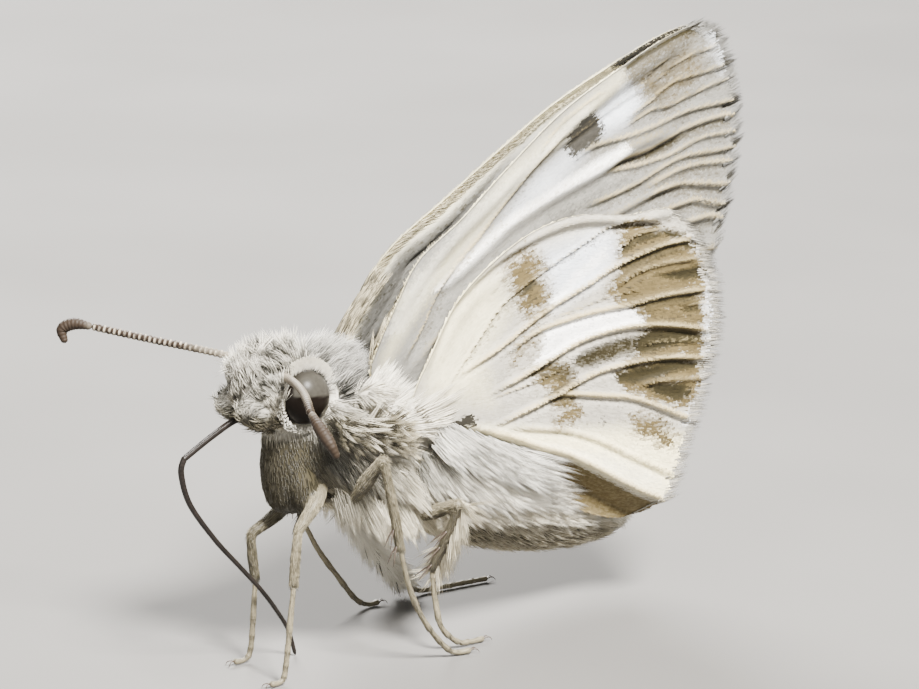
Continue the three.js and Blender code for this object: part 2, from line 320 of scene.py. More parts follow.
# the marks in the order they cover each other, and how much each breaks up into single scales
markScatter = {"blue": 0.2, "cream": 0.2, "shine": 0.25, "tan": 1.3, "grey": 1.2, "oliveAndShade": 0.35, "pale": 0.4}


def wingMaterial(kind):
    material, tree, shader = newMaterial(kind + "Scales", 0.6, 0.12, 0.03)
    chance = attribute(tree, "chance")
    speck = calc(tree, "MULTIPLY", remap(tree, noise(tree, 9000.0, 1.0), 0.3, 0.7), 0.3)
    dither = calc(tree, "ADD", calc(tree, "MULTIPLY", chance, 0.7), speck)
    base = wingColours[kind]
    for name, scatter in {**markScatter, **({"tan": 0.8} if kind == "forewing" else {})}.items():
        share = calc(tree, "MULTIPLY", attribute(tree, name), scatter + 1.0)
        share = calc(tree, "SUBTRACT", share, calc(tree, "MULTIPLY", dither, scatter), clamp=True)
        base = mixed(tree, share, base, wingColours[name])
    withGrain(tree, shader, toned(tree, base, remap(tree, chance, 0.0, 1.0, 0.78, 1.08)), 14000.0, 0.05)
    return material


hairColours = {
    "coolDark": colour(0.028, 0.029, 0.026), "coolLight": colour(0.80, 0.80, 0.77),
    "warmDark": colour(0.030, 0.025, 0.012), "warmLight": colour(0.80, 0.70, 0.47),
}


def hairMaterial():  # darker and lighter from hair to hair, and darker at the root than at the tip: painted shade deep in the coat and a painted highlight on the tips
    material, tree, shader = newMaterial("hair", 0.5, 0.3, 0.1)
    parts = [calc(tree, "MULTIPLY", calc(tree, "SUBTRACT", attribute(tree, name), 0.5), share)
             for name, share in (("chance", 0.45), ("tip", 0.6))]
    change = calc(tree, "MULTIPLY", calc(tree, "ADD", *parts), attribute(tree, "contrast"))
    tone = calc(tree, "ADD", attribute(tree, "tone"), change, clamp=True)
    cool, warm = (mixed(tree, tone, hairColours[kind + "Dark"], hairColours[kind + "Light"])
                  for kind in ("cool", "warm"))
    withGrain(tree, shader, mixed(tree, attribute(tree, "warm"), cool, warm), 8000.0, 0.2)
    return material


def plainMaterial(name, base, roughness, scale, strength):
    material, tree, shader = newMaterial(name, roughness)
    withGrain(tree, shader, base, scale, strength)
    return material


wingFinishes = {kind: wingMaterial(kind) for kind in ("forewing", "hindwing")}
hairFinish = hairMaterial()


# tufts

def strandShape(name, strands, rings=2, bend=4.0, foot=0.6, splay=1.6):  # a small bundle of hairs, a unit long
    rng = np.random.default_rng(5)
    parts = []
    for k in range(strands):
        turn = fullTurn * k / strands
        apart = np.array([math.cos(turn), math.sin(turn)]) * (strands > 1)
        z = np.linspace(0, 1, rings + 1) * rng.uniform(0.8, 1.0)
        radius = 0.5 * (1 - z) ** 0.6
        corners = [fullTurn * j / 3 + turn for j in range(3)]
        points = np.array([[r * math.cos(a), r * math.sin(a), height]
                           for height, r in zip(z[:-1], radius[:-1]) for a in corners] + [[0, 0, z[-1]]])
        height = points[:, 2:3]
        points[:, :2] += apart * (foot + splay * height)
        points[:, 0] -= bend * points[:, 2] ** 2
        faces = [[3 * i + j, 3 * i + (j + 1) % 3, 3 * i + 3 + (j + 1) % 3, 3 * i + 3 + j]
                 for i in range(rings - 1) for j in range(3)]
        top = 3 * rings
        faces += [[top - 3 + j, top - 3 + (j + 1) % 3, top] for j in range(3)]
        parts.append((points, faces))
    points, faces = joined(parts)
    mesh = bpy.data.meshes.new(name)
    mesh.from_pydata(points.tolist(), [], faces)
    mesh.shade_smooth()
    z = points[:, 2]
    setValues(mesh, tip=z, spot=np.stack([np.clip(points[:, 1] / 6, -0.5, 0.5), z - 0.5, z * 0], 1))
    return inScene(name, mesh)


def scaleShape(name):  # a flat scale, a unit long, widening to a straight end
    points = np.array([[0, 0, 0], [0, -0.5, 1.0], [0, 0.5, 1.0], [0.5, 0, 0.62], [-0.2, 0, 0.62]])
    mesh = meshFrom(name, points, [[0, 1, 3], [1, 2, 3], [2, 0, 3], [1, 0, 4], [2, 1, 4], [0, 2, 4]])
    z = points[:, 2]
    setValues(mesh, tip=z, spot=np.stack([points[:, 1] * 0.9, z - 0.5, z * 0], 1))
    return inScene(name, mesh)


def combedTree():  # tufts over a surface, laid along its 'lie' and lifted off it
    tree = bpy.data.node_groups.new("combedCoat", "GeometryNodeTree")
    sockets = [("Geometry", "Geometry"), ("Tuft", "Object"), ("Material", "Material"), ("Density", "Float"),
               ("Length", "Float"), ("Width", "Float"), ("Thickness", "Float"), ("Spread", "Float"),
               ("Variation", "Float"), ("Seed", "Int")]
    for name, kind in sockets:
        tree.interface.new_socket(name, in_out="INPUT", socket_type="NodeSocket" + kind)
    tree.interface.new_socket("Geometry", in_out="OUTPUT", socket_type="NodeSocketGeometry")
    given = put(tree, "NodeGroupInput").outputs

    def named(name, kind="FLOAT"):
        return put(tree, "GeometryNodeInputNamedAttribute", {"Name": name}, data_type=kind).outputs[0]

    def vector(operation, a, b=None, scale=None):
        node = put(tree, "ShaderNodeVectorMath", {0: a}, operation=operation)
        if b is not None:
            tree.links.new(b, node.inputs[1])
        if scale is not None:
            tree.links.new(scale, node.inputs["Scale"])
        return node.outputs[0]

    def random(low, high, offset, kind="FLOAT"):
        first = 0 if kind == "FLOAT_VECTOR" else 2
        node = put(tree, "FunctionNodeRandomValue", {first: low, first + 1: high}, data_type=kind)
        seed = calc(tree, "ADD", given["Seed"], float(offset))
        tree.links.new(seed, node.inputs["Seed"])
        return node.outputs[0 if kind == "FLOAT_VECTOR" else 1]

    density = calc(tree, "MULTIPLY", given["Density"], named("amount"))
    spots = put(tree, "GeometryNodeDistributePointsOnFaces", {
        "Mesh": given["Geometry"], "Density": density, "Seed": given["Seed"]}, distribute_method="RANDOM")
    normal = spots.outputs["Normal"]
    kept = put(tree, "GeometryNodeStoreNamedAttribute", {
        "Geometry": spots.outputs["Points"], "Name": "chance", "Value": random(0.0, 1.0, 3)},
        data_type="FLOAT", domain="POINT")
    lifted = vector("SCALE", normal, scale=named("lift"))
    stray = vector("SCALE", random((-1, -1, -1), (1, 1, 1), 1, "FLOAT_VECTOR"), scale=given["Spread"])
    aim = vector("NORMALIZE", vector("ADD", vector("ADD", named("lie", "FLOAT_VECTOR"), lifted), stray))
    turned = put(tree, "FunctionNodeAxesToRotation", {"Primary Axis": aim, "Secondary Axis": normal},
                 primary_axis="Z", secondary_axis="X")
    share = calc(tree, "ADD", 1.0, calc(tree, "MULTIPLY", given["Variation"], random(-1.0, 1.0, 2)))
    long = calc(tree, "MULTIPLY", calc(tree, "MULTIPLY", given["Length"], named("size")), share)
    size = put(tree, "ShaderNodeCombineXYZ", {0: given["Thickness"], 1: given["Width"], 2: long}).outputs[0]
    shape = put(tree, "GeometryNodeObjectInfo", {"Object": given["Tuft"]})
    tufts = put(tree, "GeometryNodeInstanceOnPoints", {
        "Points": kept.outputs[0], "Instance": shape.outputs["Geometry"],
        "Rotation": turned.outputs[0], "Scale": size})
    real = put(tree, "GeometryNodeRealizeInstances", {"Geometry": tufts.outputs[0]})
    spread = put(tree, "ShaderNodeVectorMath", {0: named("spot", "FLOAT_VECTOR"), 1: (0.003, 0.003, 0.0)},
                 operation="MULTIPLY").outputs[0]
    place = vector("ADD", named("place", "FLOAT_VECTOR"), spread)
    mapped = put(tree, "GeometryNodeStoreNamedAttribute", {
        "Geometry": real.outputs[0], "Name": "OFBake", "Value": place}, data_type="FLOAT2", domain="CORNER")
    dressed = put(tree, "GeometryNodeSetMaterial", {
        "Geometry": mapped.outputs[0], "Material": given["Material"]})
    put(tree, "NodeGroupOutput", {0: dressed.outputs[0]})
    return tree


combed = combedTree()
tuftShapes = {
    "hair": strandShape("hairTuft", 3), "single": strandShape("singleHair", 1, bend=0.0),
    "lock": strandShape("lockTuft", 4, rings=3, bend=6.0, foot=2.4, splay=-1.9),
    "scale": scaleShape("flatScale"),
}
coatLayers = {"position", "tip", "chance", "tone", "warm", "contrast", "OFBake", "sharp_face", "material_index",
              *markScatter}


def grow(name, host, shape, finish, seed, coat):
    ground = inScene(name + "Ground", host)
    modifier = ground.modifiers.new("coat", "NODES")
    modifier.node_group = combed
    values = {"Tuft": tuftShapes[shape], "Material": finish, "Seed": seed, "Thickness": coat["width"]}
    values.update({key.title(): value for key, value in coat.items()})
    for item in combed.interface.items_tree:
        if item.in_out == "INPUT" and item.name in values:
            modifier[item.identifier] = values[item.name]
    graph = bpy.context.evaluated_depsgraph_get()
    mesh = bpy.data.meshes.new_from_object(ground.evaluated_get(graph), depsgraph=graph)
    bpy.data.objects.remove(ground)
    for layer in [a.name for a in mesh.attributes]:
        if layer not in coatLayers and not layer.startswith("."):
            mesh.attributes.remove(mesh.attributes[layer])
    if shape == "scale":  # flat, so that neighbouring scales shade as one sheet
        mesh.shade_flat()
    else:
        mesh.shade_smooth()
    return mesh


# wings: edges, folds and markings in each wing's own plane, [back, up] from its root

foreWing = {
    "root": (1.5, -1.65, 8.5), "lean": 6.0, "thickness": 0.09, "fringe": 0.42, "along": 156, "across": 114,
    "costa": [(-0.2, -0.3), (-0.55, 0.85), (-0.3, 1.6), (0.6, 3.1), (1.55, 4.3), (3.3, 5.45), (5.25, 6.85),
        (7.5, 8.35), (9.9, 9.5), (11.7, 10.25), (13.2, 10.65)],
    "outer": [(13.2, 10.65), (14.05, 10.4), (14.65, 8.9), (14.8, 7.0), (14.4, 5.3), (13.6, 3.0), (12.6, 1.3)],
    "inner": [(-0.2, -0.3), (0.6, -0.75), (4.0, -0.7), (8.0, -0.1), (11.8, 0.75), (12.6, 1.3)],
    # path, width, height, dark line beneath it (painted shade, partly tan scales), how pale its crest is
    "ridges": [
        ([(-0.2, 1.2), (0.58, 2.75), (2.44, 4.55), (4.23, 5.75), (6.33, 7.1), (8.35, 8.3), (10.2, 9.2),
            (12.4, 10.1)], 0.32, 0.2, 0.25, 0.1),
        ([(0.6, 1.4), (1.85, 3.2), (2.9, 3.8), (4.01, 4.5), (5.01, 5.05), (6.8, 5.75), (8.6, 6.32),
            (9.93, 6.86), (11.8, 7.3)], 0.27, 0.2, 0.2, 0.25),
        ([(0.2, 0.2), (2.0, 1.8), (4.0, 2.9), (7.0, 4.0), (10.0, 5.0), (12.0, 5.5)], 0.16, 0.1, 0.35, 0.3),
        ([(0.4, 0.0), (3.0, 0.8), (7.0, 1.8), (11.0, 2.8), (13.2, 3.2)], 0.14, 0.1, 0.3, 0.3),
        ([(6.6, 6.95), (7.9, 7.5), (9.2, 8.1), (10.6, 8.7), (12.0, 9.4)], 0.08, 0.06, 0.25, 0.2),
    ],
    # path, width, depth, darkness (painted shade in the trough, partly olive scales); each has a crest along
    # its upper side, pale with a painted highlight
    "troughs": [
        ([(0.4, 0.6), (1.6, 2.1), (2.5, 3.45), (4.02, 4.67), (5.25, 5.69), (6.07, 6.46), (6.79, 7.0),
            (7.4, 7.45)], 0.1, 0.14, 0.62),
        ([(6.09, 6.8), (6.93, 7.62), (7.75, 8.15), (8.97, 8.73)], 0.05, 0.05, 0.35),
        ([(10.7, 8.5), (11.09, 9.15), (11.82, 9.55)], 0.06, 0.06, 0.5),
        ([(9.6, 9.2), (10.6, 9.68), (11.6, 10.06), (12.5, 10.34), (13.3, 10.46)], 0.11, 0.06, 1.3),
        ([(10.4, 8.3), (11.36, 8.77), (12.2, 9.24), (12.93, 9.5), (13.9, 9.7)], 0.07, 0.09, 0.62),
        ([(9.6, 7.5), (10.92, 8.1), (11.97, 8.66), (12.99, 8.81), (14.34, 9.0)], 0.08, 0.1, 0.66),
        ([(9.6, 7.3), (11.0, 7.85), (11.71, 7.9), (12.95, 8.23), (14.0, 8.47), (14.52, 8.56)],
            0.08, 0.1, 0.6),
        ([(7.6, 6.5), (8.65, 6.93), (9.65, 7.05), (10.86, 7.26), (12.4, 7.6), (13.43, 7.71), (14.62, 7.75)],
            0.09, 0.12, 0.72),
        ([(8.6, 5.95), (9.29, 6.2), (9.8, 6.37), (10.81, 6.5), (11.54, 6.76), (12.68, 7.09), (13.92, 7.26),
            (14.7, 7.18)], 0.11, 0.12, 1.0),
        ([(8.6, 5.85), (9.38, 6.02), (10.38, 6.07), (11.81, 6.3), (13.06, 6.66), (14.66, 6.72)],
            0.09, 0.1, 0.6),
        ([(7.7, 4.9), (9.12, 5.19), (10.35, 5.51), (11.27, 5.84), (12.31, 6.12), (13.85, 6.15), (14.58, 6.2)],
            0.1, 0.12, 0.7),
        ([(10.4, 5.2), (11.66, 5.59), (12.49, 5.75), (13.31, 5.77), (14.34, 5.7)], 0.11, 0.11, 0.75),
        ([(10.3, 4.85), (11.23, 5.12), (12.25, 5.19), (13.16, 5.05), (14.2, 4.88)], 0.12, 0.12, 0.8),
        ([(10.8, 4.3), (12.52, 4.58), (13.23, 4.41), (14.04, 4.22)], 0.12, 0.12, 0.75),
        ([(9.6, 3.4), (11.6, 3.75), (13.2, 3.92), (13.7, 3.77)], 0.15, 0.14, 0.7),
        ([(9.0, 2.5), (11.4, 2.75), (13.4, 2.8)], 0.15, 0.14, 0.6),
        ([(7.5, 1.3), (10.4, 1.7), (12.9, 2.0)], 0.15, 0.14, 0.6),
    ],
    # outline, darkness (painted shade, partly olive scales), depth, softness
    "hollows": [
        ([(9.9, 6.3), (10.8, 6.5), (11.6, 6.78), (12.5, 7.02), (12.5, 6.9), (11.6, 6.55), (10.8, 6.33)],
            0.9, 0.05, 0.08),
        ([(5.95, 4.6), (7.36, 5.34), (8.56, 5.6), (9.78, 5.95), (10.15, 5.62), (8.71, 4.92), (6.73, 4.5)],
            0.33, 0.03, 0.35),
    ],
    # outline, strength, softness
    "tan": [
        ([(9.8, 9.1), (10.8, 9.6), (12.4, 10.1), (13.3, 9.9), (13.4, 8.9), (12.8, 8.15), (11.7, 7.7),
            (10.96, 7.95), (10.4, 8.5)], 0.6, 0.5),
        ([(10.7, 8.4), (11.3, 9.3), (12.4, 9.4), (12.6, 8.6), (11.6, 7.9)], 0.72, 0.5),
        ([(9.4, 4.6), (9.9, 5.9), (11.8, 6.6), (13.9, 6.9), (14.2, 5.2), (13.4, 4.0), (10.5, 3.9)],
            0.32, 0.5),
    ],
    "grey": [
        ([(8.43, 8.2), (8.7, 7.97), (8.95, 7.8), (9.0, 7.45), (8.7, 7.15), (8.1, 6.98), (7.75, 6.75),
            (7.45, 7.1), (7.6, 7.65), (8.02, 7.95)], 1.0, 0.16),
    ],
    "cream": [
        ([(-0.4, 0.6), (0.6, 3.1), (5.25, 6.85), (9.9, 9.5), (9.7, 8.9), (5.5, 6.2), (1.6, 3.0)], 0.45, 0.4),
    ],
    "shine": [
        # the bright fold and the costal roll: whiter scales, with a painted highlight where they catch the
        # light
        ([(1.9, 3.2), (2.9, 3.95), (4.1, 4.65), (5.1, 5.2), (6.9, 5.92), (8.6, 6.55), (9.8, 6.98), (9.9, 6.7),
            (8.7, 6.1), (6.9, 5.5), (5.1, 4.75), (4.0, 4.1), (2.6, 3.3)], 1.0, 0.16),
        ([(-0.1, 1.9), (0.9, 3.4), (2.6, 4.9), (4.3, 6.0), (6.4, 7.3), (8.4, 8.5), (8.4, 8.1), (6.4, 6.8),
            (4.2, 5.3), (2.4, 4.1), (0.6, 1.9)], 0.3, 0.25),
    ],
    "blue": [
        ([(3.81, 4.39), (5.24, 5.54), (6.36, 6.42), (7.48, 7.07), (8.34, 6.81), (6.8, 5.81), (5.01, 5.05)],
            0.5, 0.3),
        ([(8.73, 8.12), (9.77, 8.87), (10.55, 8.62), (10.52, 8.15), (9.88, 7.58), (8.88, 7.38)], 0.8, 0.3),
        ([(13.3, 10.6), (14.3, 10.2), (14.7, 8.6), (14.2, 8.6), (13.6, 9.7)], 0.6, 0.3),
    ],
}
hindWing = {
    "root": (2.1, -1.2, 7.9), "lean": 6.0, "thickness": 0.09, "fringe": 0.6, "along": 172, "across": 130,
    "costa": [(-0.1, 0.1), (0.5, 1.3), (1.38, 2.7), (2.3, 3.8), (3.87, 4.8), (5.51, 5.43), (7.13, 5.64),
        (9.0, 5.4), (10.4, 5.42), (11.3, 5.15)],
    "outer": [(11.3, 5.15), (12.15, 4.2), (12.78, 2.4), (12.7, 1.0), (12.15, -0.7), (11.35, -2.4),
        (10.65, -3.9), (9.95, -4.75)],
    "inner": [(-0.1, 0.1), (1.2, -1.1), (3.3, -2.05), (5.3, -3.2), (7.0, -4.25), (8.5, -4.8), (9.95, -4.75)],
    "turnedIn": [(0.2, 0.0), (1.92, -0.5), (3.9, -1.3), (4.95, -1.78), (5.98, -2.17), (7.17, -2.84),
        (8.89, -3.9), (10.39, -4.65)],
    "ridges": [
        ([(1.38, 0.94), (3.48, 1.81), (5.26, 2.69), (7.24, 3.4), (8.51, 3.87), (10.33, 4.23), (11.6, 4.27)],
            0.08, 0.13, 0.9, 0.9),
        ([(3.4, 1.45), (4.52, 1.94), (5.23, 2.19), (7.08, 2.42), (8.86, 2.47), (10.22, 2.56), (12.22, 2.51)],
            0.075, 0.12, 0.85, 0.9),
        ([(2.8, 0.3), (4.44, 0.81), (5.15, 1.06), (6.04, 1.37), (6.94, 1.62), (8.37, 1.75), (9.71, 1.66),
            (10.96, 1.42), (12.0, 1.12)], 0.1, 0.17, 0.5, 1.0),
        ([(2.8, -0.75), (4.18, -0.43), (5.77, 0.0), (7.03, 0.38), (8.28, 0.52), (10.08, 0.5), (11.9, 0.2)],
            0.085, 0.14, 0.7, 1.0),
        ([(4.8, -0.1), (5.95, -0.07), (7.34, -0.33), (8.66, -0.62), (9.54, -0.98), (10.33, -1.37),
            (11.2, -1.8)], 0.085, 0.13, 0.8, 1.0),
        ([(3.4, -0.75), (5.08, -1.1), (6.03, -1.32), (7.24, -1.82), (8.53, -2.55), (10.4, -3.6)],
            0.07, 0.08, 0.4, 0.5),
        ([(1.92, -0.42), (3.9, -1.2), (4.95, -1.68), (5.98, -2.07), (7.17, -2.74), (8.89, -3.8),
            (10.39, -4.55)], 0.12, 0.12, 0.0, 0.7),
        ([(0.2, 0.6), (0.9, 2.1), (1.9, 3.5), (3.6, 4.6), (5.5, 5.25), (7.13, 5.46), (9.0, 5.25),
            (10.6, 5.2)], 0.16, 0.15, 0.0, 0.2),
        ([(8.1, 3.1), (9.2, 3.5), (10.3, 3.62), (11.7, 3.6)], 0.07, 0.08, 0.3, 0.6),
        ([(9.0, 1.08), (10.4, 1.02), (12.1, 0.75)], 0.06, 0.06, 0.2, 0.4),
        ([(8.9, -0.28), (10.0, -0.25), (11.9, -0.5)], 0.06, 0.07, 0.25, 0.5),
    ],
    "troughs": [
        ([(1.3, 0.6), (2.18, 1.45), (3.0, 2.31), (3.92, 3.17), (5.35, 3.88), (7.42, 4.74), (8.59, 5.1),
            (9.49, 5.1), (10.28, 4.87)], 0.055, 0.09, 0.85),
        ([(8.4, 4.15), (9.09, 4.55), (9.63, 4.65), (10.36, 4.68)], 0.06, 0.08, 0.85),
        ([(5.4, 2.3), (6.8, 2.55), (8.0, 2.75), (9.2, 2.8)], 0.05, 0.04, 0.3),
        ([(10.9, 2.02), (11.98, 1.96)], 0.06, 0.06, 0.65),
        ([(3.0, 0.1), (4.4, 0.35), (5.9, 0.62)], 0.05, 0.05, 0.45),
        ([(0.9, 0.9), (2.0, 2.3), (3.2, 3.4)], 0.3, 0.08, 0.0),
    ],
    "hollows": [
        ([(8.95, 1.36), (9.69, 1.46), (10.95, 1.25), (12.0, 0.93), (11.88, 0.73), (10.56, 0.83), (9.38, 0.75),
            (8.89, 0.87)], 1.1, 0.12, 0.16),
        ([(6.4, 1.05), (7.27, 1.32), (8.34, 1.45), (9.06, 1.44), (8.98, 0.82), (7.85, 0.68), (6.78, 0.57),
            (6.3, 0.75)], 0.86, 0.1, 0.2),
        ([(8.0, 0.28), (8.99, 0.34), (10.52, 0.28), (11.85, 0.05), (11.69, -0.13), (10.32, -0.1),
            (9.05, -0.23), (8.2, -0.12)], 1.0, 0.12, 0.16),
        ([(9.21, -0.36), (9.94, -0.37), (11.15, -0.6), (10.95, -1.1), (10.44, -1.06), (9.82, -0.78)],
            1.05, 0.11, 0.14),
        ([(9.82, 3.29), (10.72, 3.3), (12.09, 3.35), (12.06, 2.86), (11.06, 2.9), (10.17, 3.12)],
            0.95, 0.1, 0.14),
        ([(10.27, 4.76), (11.25, 4.46), (11.12, 4.24), (10.48, 4.45)], 0.95, 0.09, 0.12),
        ([(11.05, 4.2), (11.51, 4.22), (11.68, 3.98), (11.33, 3.88)], 0.95, 0.07, 0.1),
        ([(4.2, 0.8), (4.97, 0.97), (5.66, 0.98), (6.42, 0.78), (6.3, 0.15), (5.63, 0.36), (4.86, 0.62)],
            0.62, 0.06, 0.14),
        ([(4.8, -0.08), (5.79, 0.22), (6.45, 0.3), (6.25, -0.1), (5.77, -0.17)], 0.7, 0.05, 0.08),
    ],
    "tan": [
        ([(3.92, 4.5), (4.37, 4.8), (5.06, 4.7), (5.4, 4.02), (5.53, 3.37), (5.5, 2.8), (4.9, 2.4),
            (4.5, 2.6), (4.08, 3.49)], 0.97, 0.46),
        ([(3.81, 1.62), (4.53, 2.15), (5.3, 2.45), (5.1, 1.8), (4.49, 1.45), (3.7, 1.0)], 0.72, 0.34),
        ([(4.3, 0.95), (5.66, 1.15), (6.4, 0.7), (6.6, -0.2), (6.6, -1.15), (5.5, -1.15), (5.4, -0.35)],
            0.8, 0.34),
        ([(8.5, 5.1), (9.13, 5.25), (10.35, 4.85), (11.6, 4.3), (12.0, 3.53), (12.0, 2.5), (11.85, 1.4),
            (11.75, 0.3), (11.7, -1.1), (10.7, -1.35), (9.54, -0.93), (8.57, -0.5), (8.0, 0.1), (8.8, 0.8),
            (9.2, 1.4), (9.28, 1.95), (8.76, 2.3), (7.75, 2.85), (8.49, 3.58)], 0.93, 0.26),
        ([(8.4, -1.2), (9.2, -1.15), (9.8, -1.42), (10.35, -2.0), (10.4, -2.75), (9.5, -2.45), (8.6, -1.9)],
            0.78, 0.36),
    ],
    "grey": [
        ([(1.45, -0.36), (1.8, -0.22), (2.15, -0.26), (2.5, -0.46), (2.05, -0.6), (1.6, -0.58)], 1.2, 0.08),
        ([(7.36, -0.75), (7.5, -0.75), (7.46, -1.4), (7.3, -1.4)], 0.6, 0.08),
    ],
    "cream": [
        # the lower inner area: its cream is partly painted light shining through the thin wing
        ([(1.68, -0.6), (3.79, -0.95), (5.51, -1.3), (8.1, -1.6), (10.9, -2.4), (10.6, -4.5), (8.9, -3.8),
            (6.74, -2.6), (4.61, -1.65)], 1.05, 0.4),
        ([(0.5, 2.2), (2.05, 4.2), (3.71, 4.2), (4.0, 3.03), (2.9, 1.5), (3.0, 0.0), (0.6, 0.6)], 0.55, 0.6),
    ],
    "shine": [
        # whiter cells, with a painted highlight along the lit folds
        ([(4.9, 1.1), (6.0, 1.32), (6.9, 1.58), (8.38, 1.76), (9.2, 1.8), (9.1, 2.35), (7.0, 2.3),
            (5.4, 2.05)], 1.1, 0.14),
        ([(5.6, 3.0), (6.6, 3.75), (7.9, 4.5), (7.9, 4.1), (6.6, 3.4), (5.8, 2.75)], 0.8, 0.2),
        ([(4.6, -1.45), (7.3, -2.2), (9.4, -3.2), (10.5, -4.2), (8.9, -3.7), (6.7, -2.5)], 0.3, 0.25),
    ],
    "blue": [
        ([(5.5, 4.7), (7.67, 5.0), (8.3, 4.9), (8.35, 4.18), (7.6, 3.35), (5.7, 2.75)], 0.85, 0.4),
        ([(5.5, 2.1), (7.3, 2.3), (8.9, 2.2), (9.0, 1.8), (7.0, 1.65), (5.6, 1.3)], 0.3, 0.3),
        ([(11.55, 5.0), (12.51, 4.12), (12.9, 2.97), (12.8, 1.3), (12.35, 0.0), (11.81, -1.3), (11.3, -2.3),
            (10.84, -1.95), (11.75, -0.3), (12.0, 1.4), (12.1, 3.29), (11.6, 4.2)], 0.85, 0.22),
    ],
}
# The upper side, which the closed wings hide: white, with dark wedges along the margin.
upperSide = {
    "wedges": 9, "reach": 0.85, "softness": 0.09,
    "tipBand": [(9.6, 9.6), (13.4, 10.9), (14.3, 10.0), (12.6, 9.7), (10.4, 8.9)],
}
# how far each mark's edge is softened, and how far it strays along the folds
markEdges = {"cream": (1.3, 0), "blue": (1.3, 0), "shine": (1.3, 0), "tan": (1.5, 0.12), "grey": (1, 0.08)}
rightWings = {"turn": -0.6, "back": 0.4}  # the right pair stand a little apart from the left
wingCoats = {
    "scales": {"density": 156.0, "length": 0.21, "width": 0.085, "thickness": 0.003, "spread": 0.035,
               "variation": 0.2},
    "fringe": {"density": 330.0, "length": 1.0, "width": 0.035, "spread": 0.08, "variation": 0.2},
    "costa": {"density": 170.0, "length": 0.6, "width": 0.04, "thickness": 0.03, "spread": 0.12,
              "variation": 0.4},
}
# columns of the net that the hairs stand between, how far below the surface, how long
costaRows = {"costa": ((3, 0), 0.0, 0.3), "costaRear": ((0, 7), 0.06, 1.0)}


def relief(flat, values):  # height of the folds; dark in their troughs and in a line under each ridge, painted shade partly carried by olive and tan scales; pale along their crests, cream on the veins and a painted highlight above the troughs
    height, dark, pale, lines = np.zeros((4, len(flat)))
    for path, width, rises, line, crest in values["ridges"]:
        width = max(width, 0.095)
        gap, side, share = nearPath(flat, spline(path, 5 * len(path)))
        off = gap * side
        fade = rise(share, -0.01, 0.2) * (1 - 0.5 * rise(share, 0.94, 1.0))
        height += rises * fade * (bell(gap, width) - 0.55 * bell(off + 1.9 * width, width))
        pale = np.maximum(pale, crest * fade * bell(gap, 0.85 * width))
        lines = np.maximum(lines, line * fade * bell(off + 0.05 + 1.15 * width, 0.07 + 0.45 * width))
        lines = np.maximum(lines, 0.5 * line * fade * bell(off + 0.18 + 1.2 * width, 0.2))
    for path, width, depth, darkness in values["troughs"]:
        gap, side, share = nearPath(flat, spline(path, 5 * len(path)))
        off = gap * side
        fade = rise(share, -0.01, 0.2) * (1 - 0.4 * rise(share, 0.94, 1.0))
        height -= 0.75 * depth * fade * (bell(off, width) - 0.8 * bell(off - 1.8 * width, width))
        height -= 0.3 * depth * fade * bell(off + 1.6 * width, 1.7 * width)
        pale = np.maximum(pale, 0.6 * bool(darkness) * fade * bell(off - 1.7 * width, 0.7 * width))
        lower = 0.5 * bell(off + 1.4 * width, 1.3 * width)
        lines = np.maximum(lines, darkness * fade * bell(off + 1.2 * width, 2.3 * width))
        dark = np.maximum(dark, 0.8 * darkness * fade * np.maximum(bell(off, width), lower))
    for corners, darkness, depth, soft in values["hollows"]:
        inside = depthInside(flat, corners)
        height -= 0.7 * depth * rise(inside, -0.06, 0.24)
        dark = np.maximum(dark, darkness * rise(inside, -soft, soft))
    return height, dark, pale, lines


def patches(flat, outlines, soften=1.0, ragged=0.0):  # soft-edged areas
    value = np.zeros(len(flat))
    stray = ragged * wander(flat * (2.0, 6.0), 1.5, 17)[:, 0]
    for corners, strength, soft in outlines:
        inside = depthInside(flat, corners) + stray
        value = np.maximum(value, strength * rise(inside, -soft * soften, soft * soften))
    return value


def wingSheet(values):  # an even net over the wing, and the same net reaching to the fringe's tips
    n, m = values["along"], values["across"]
    s, t = np.meshgrid(np.linspace(0.02, 1, n), np.linspace(0, 1, m), indexing="ij")
    costa, inner, outer = (spline(values[edge], 400) for edge in ("costa", "inner", "outer"))
    even = np.linspace(0, 1, 400)
    at = lambda edge, x: np.stack([np.interp(x, even, edge[:, k]) for k in (0, 1)], -1)
    s3, t3 = s[..., None], t[..., None]
    full = (1 - t3) * at(costa, s) + t3 * at(inner, s) + (1 - s3) * costa[0] + s3 * at(outer, t)
    full -= (1 - s3) * costa[0] + s3 * ((1 - t3) * costa[-1] + t3 * inner[-1])
    flat = full.copy()
    span = np.linalg.norm(full[-1] - full[int(n * 0.9)], axis=1) / 0.1  # length of each line to the margin
    short = 1 - np.clip(values["fringe"] / span, 0.01, 0.12)
    lines = np.linspace(0.02, 1, n)
    for j in range(m):
        for k in (0, 1):
            flat[:, j, k] = np.interp(lines * short[j], lines, full[:, j, k])
    return s, t, flat, full


def wingSpace(values, side, flat, height):  # from the wing's plane into the body's space
    lean = math.radians(values["lean"])
    root = np.array(values["root"]) * (side, 1, 1)
    if side < 0:
        turn = math.radians(rightWings["turn"])
        u, v = flat[..., 0], flat[..., 1]
        flat = np.stack([u * math.cos(turn) - v * math.sin(turn), u * math.sin(turn) + v * math.cos(turn)], -1)
        root += (0, rightWings["back"], 0)
    back = np.array([0, 1, 0])
    up = np.array([-math.sin(lean) * side, 0, math.cos(lean)])
    out = np.array([math.cos(lean) * side, 0, math.sin(lean)])
    return root + flat[..., :1] * back + flat[..., 1:] * up + np.asarray(height)[..., None] * out, out


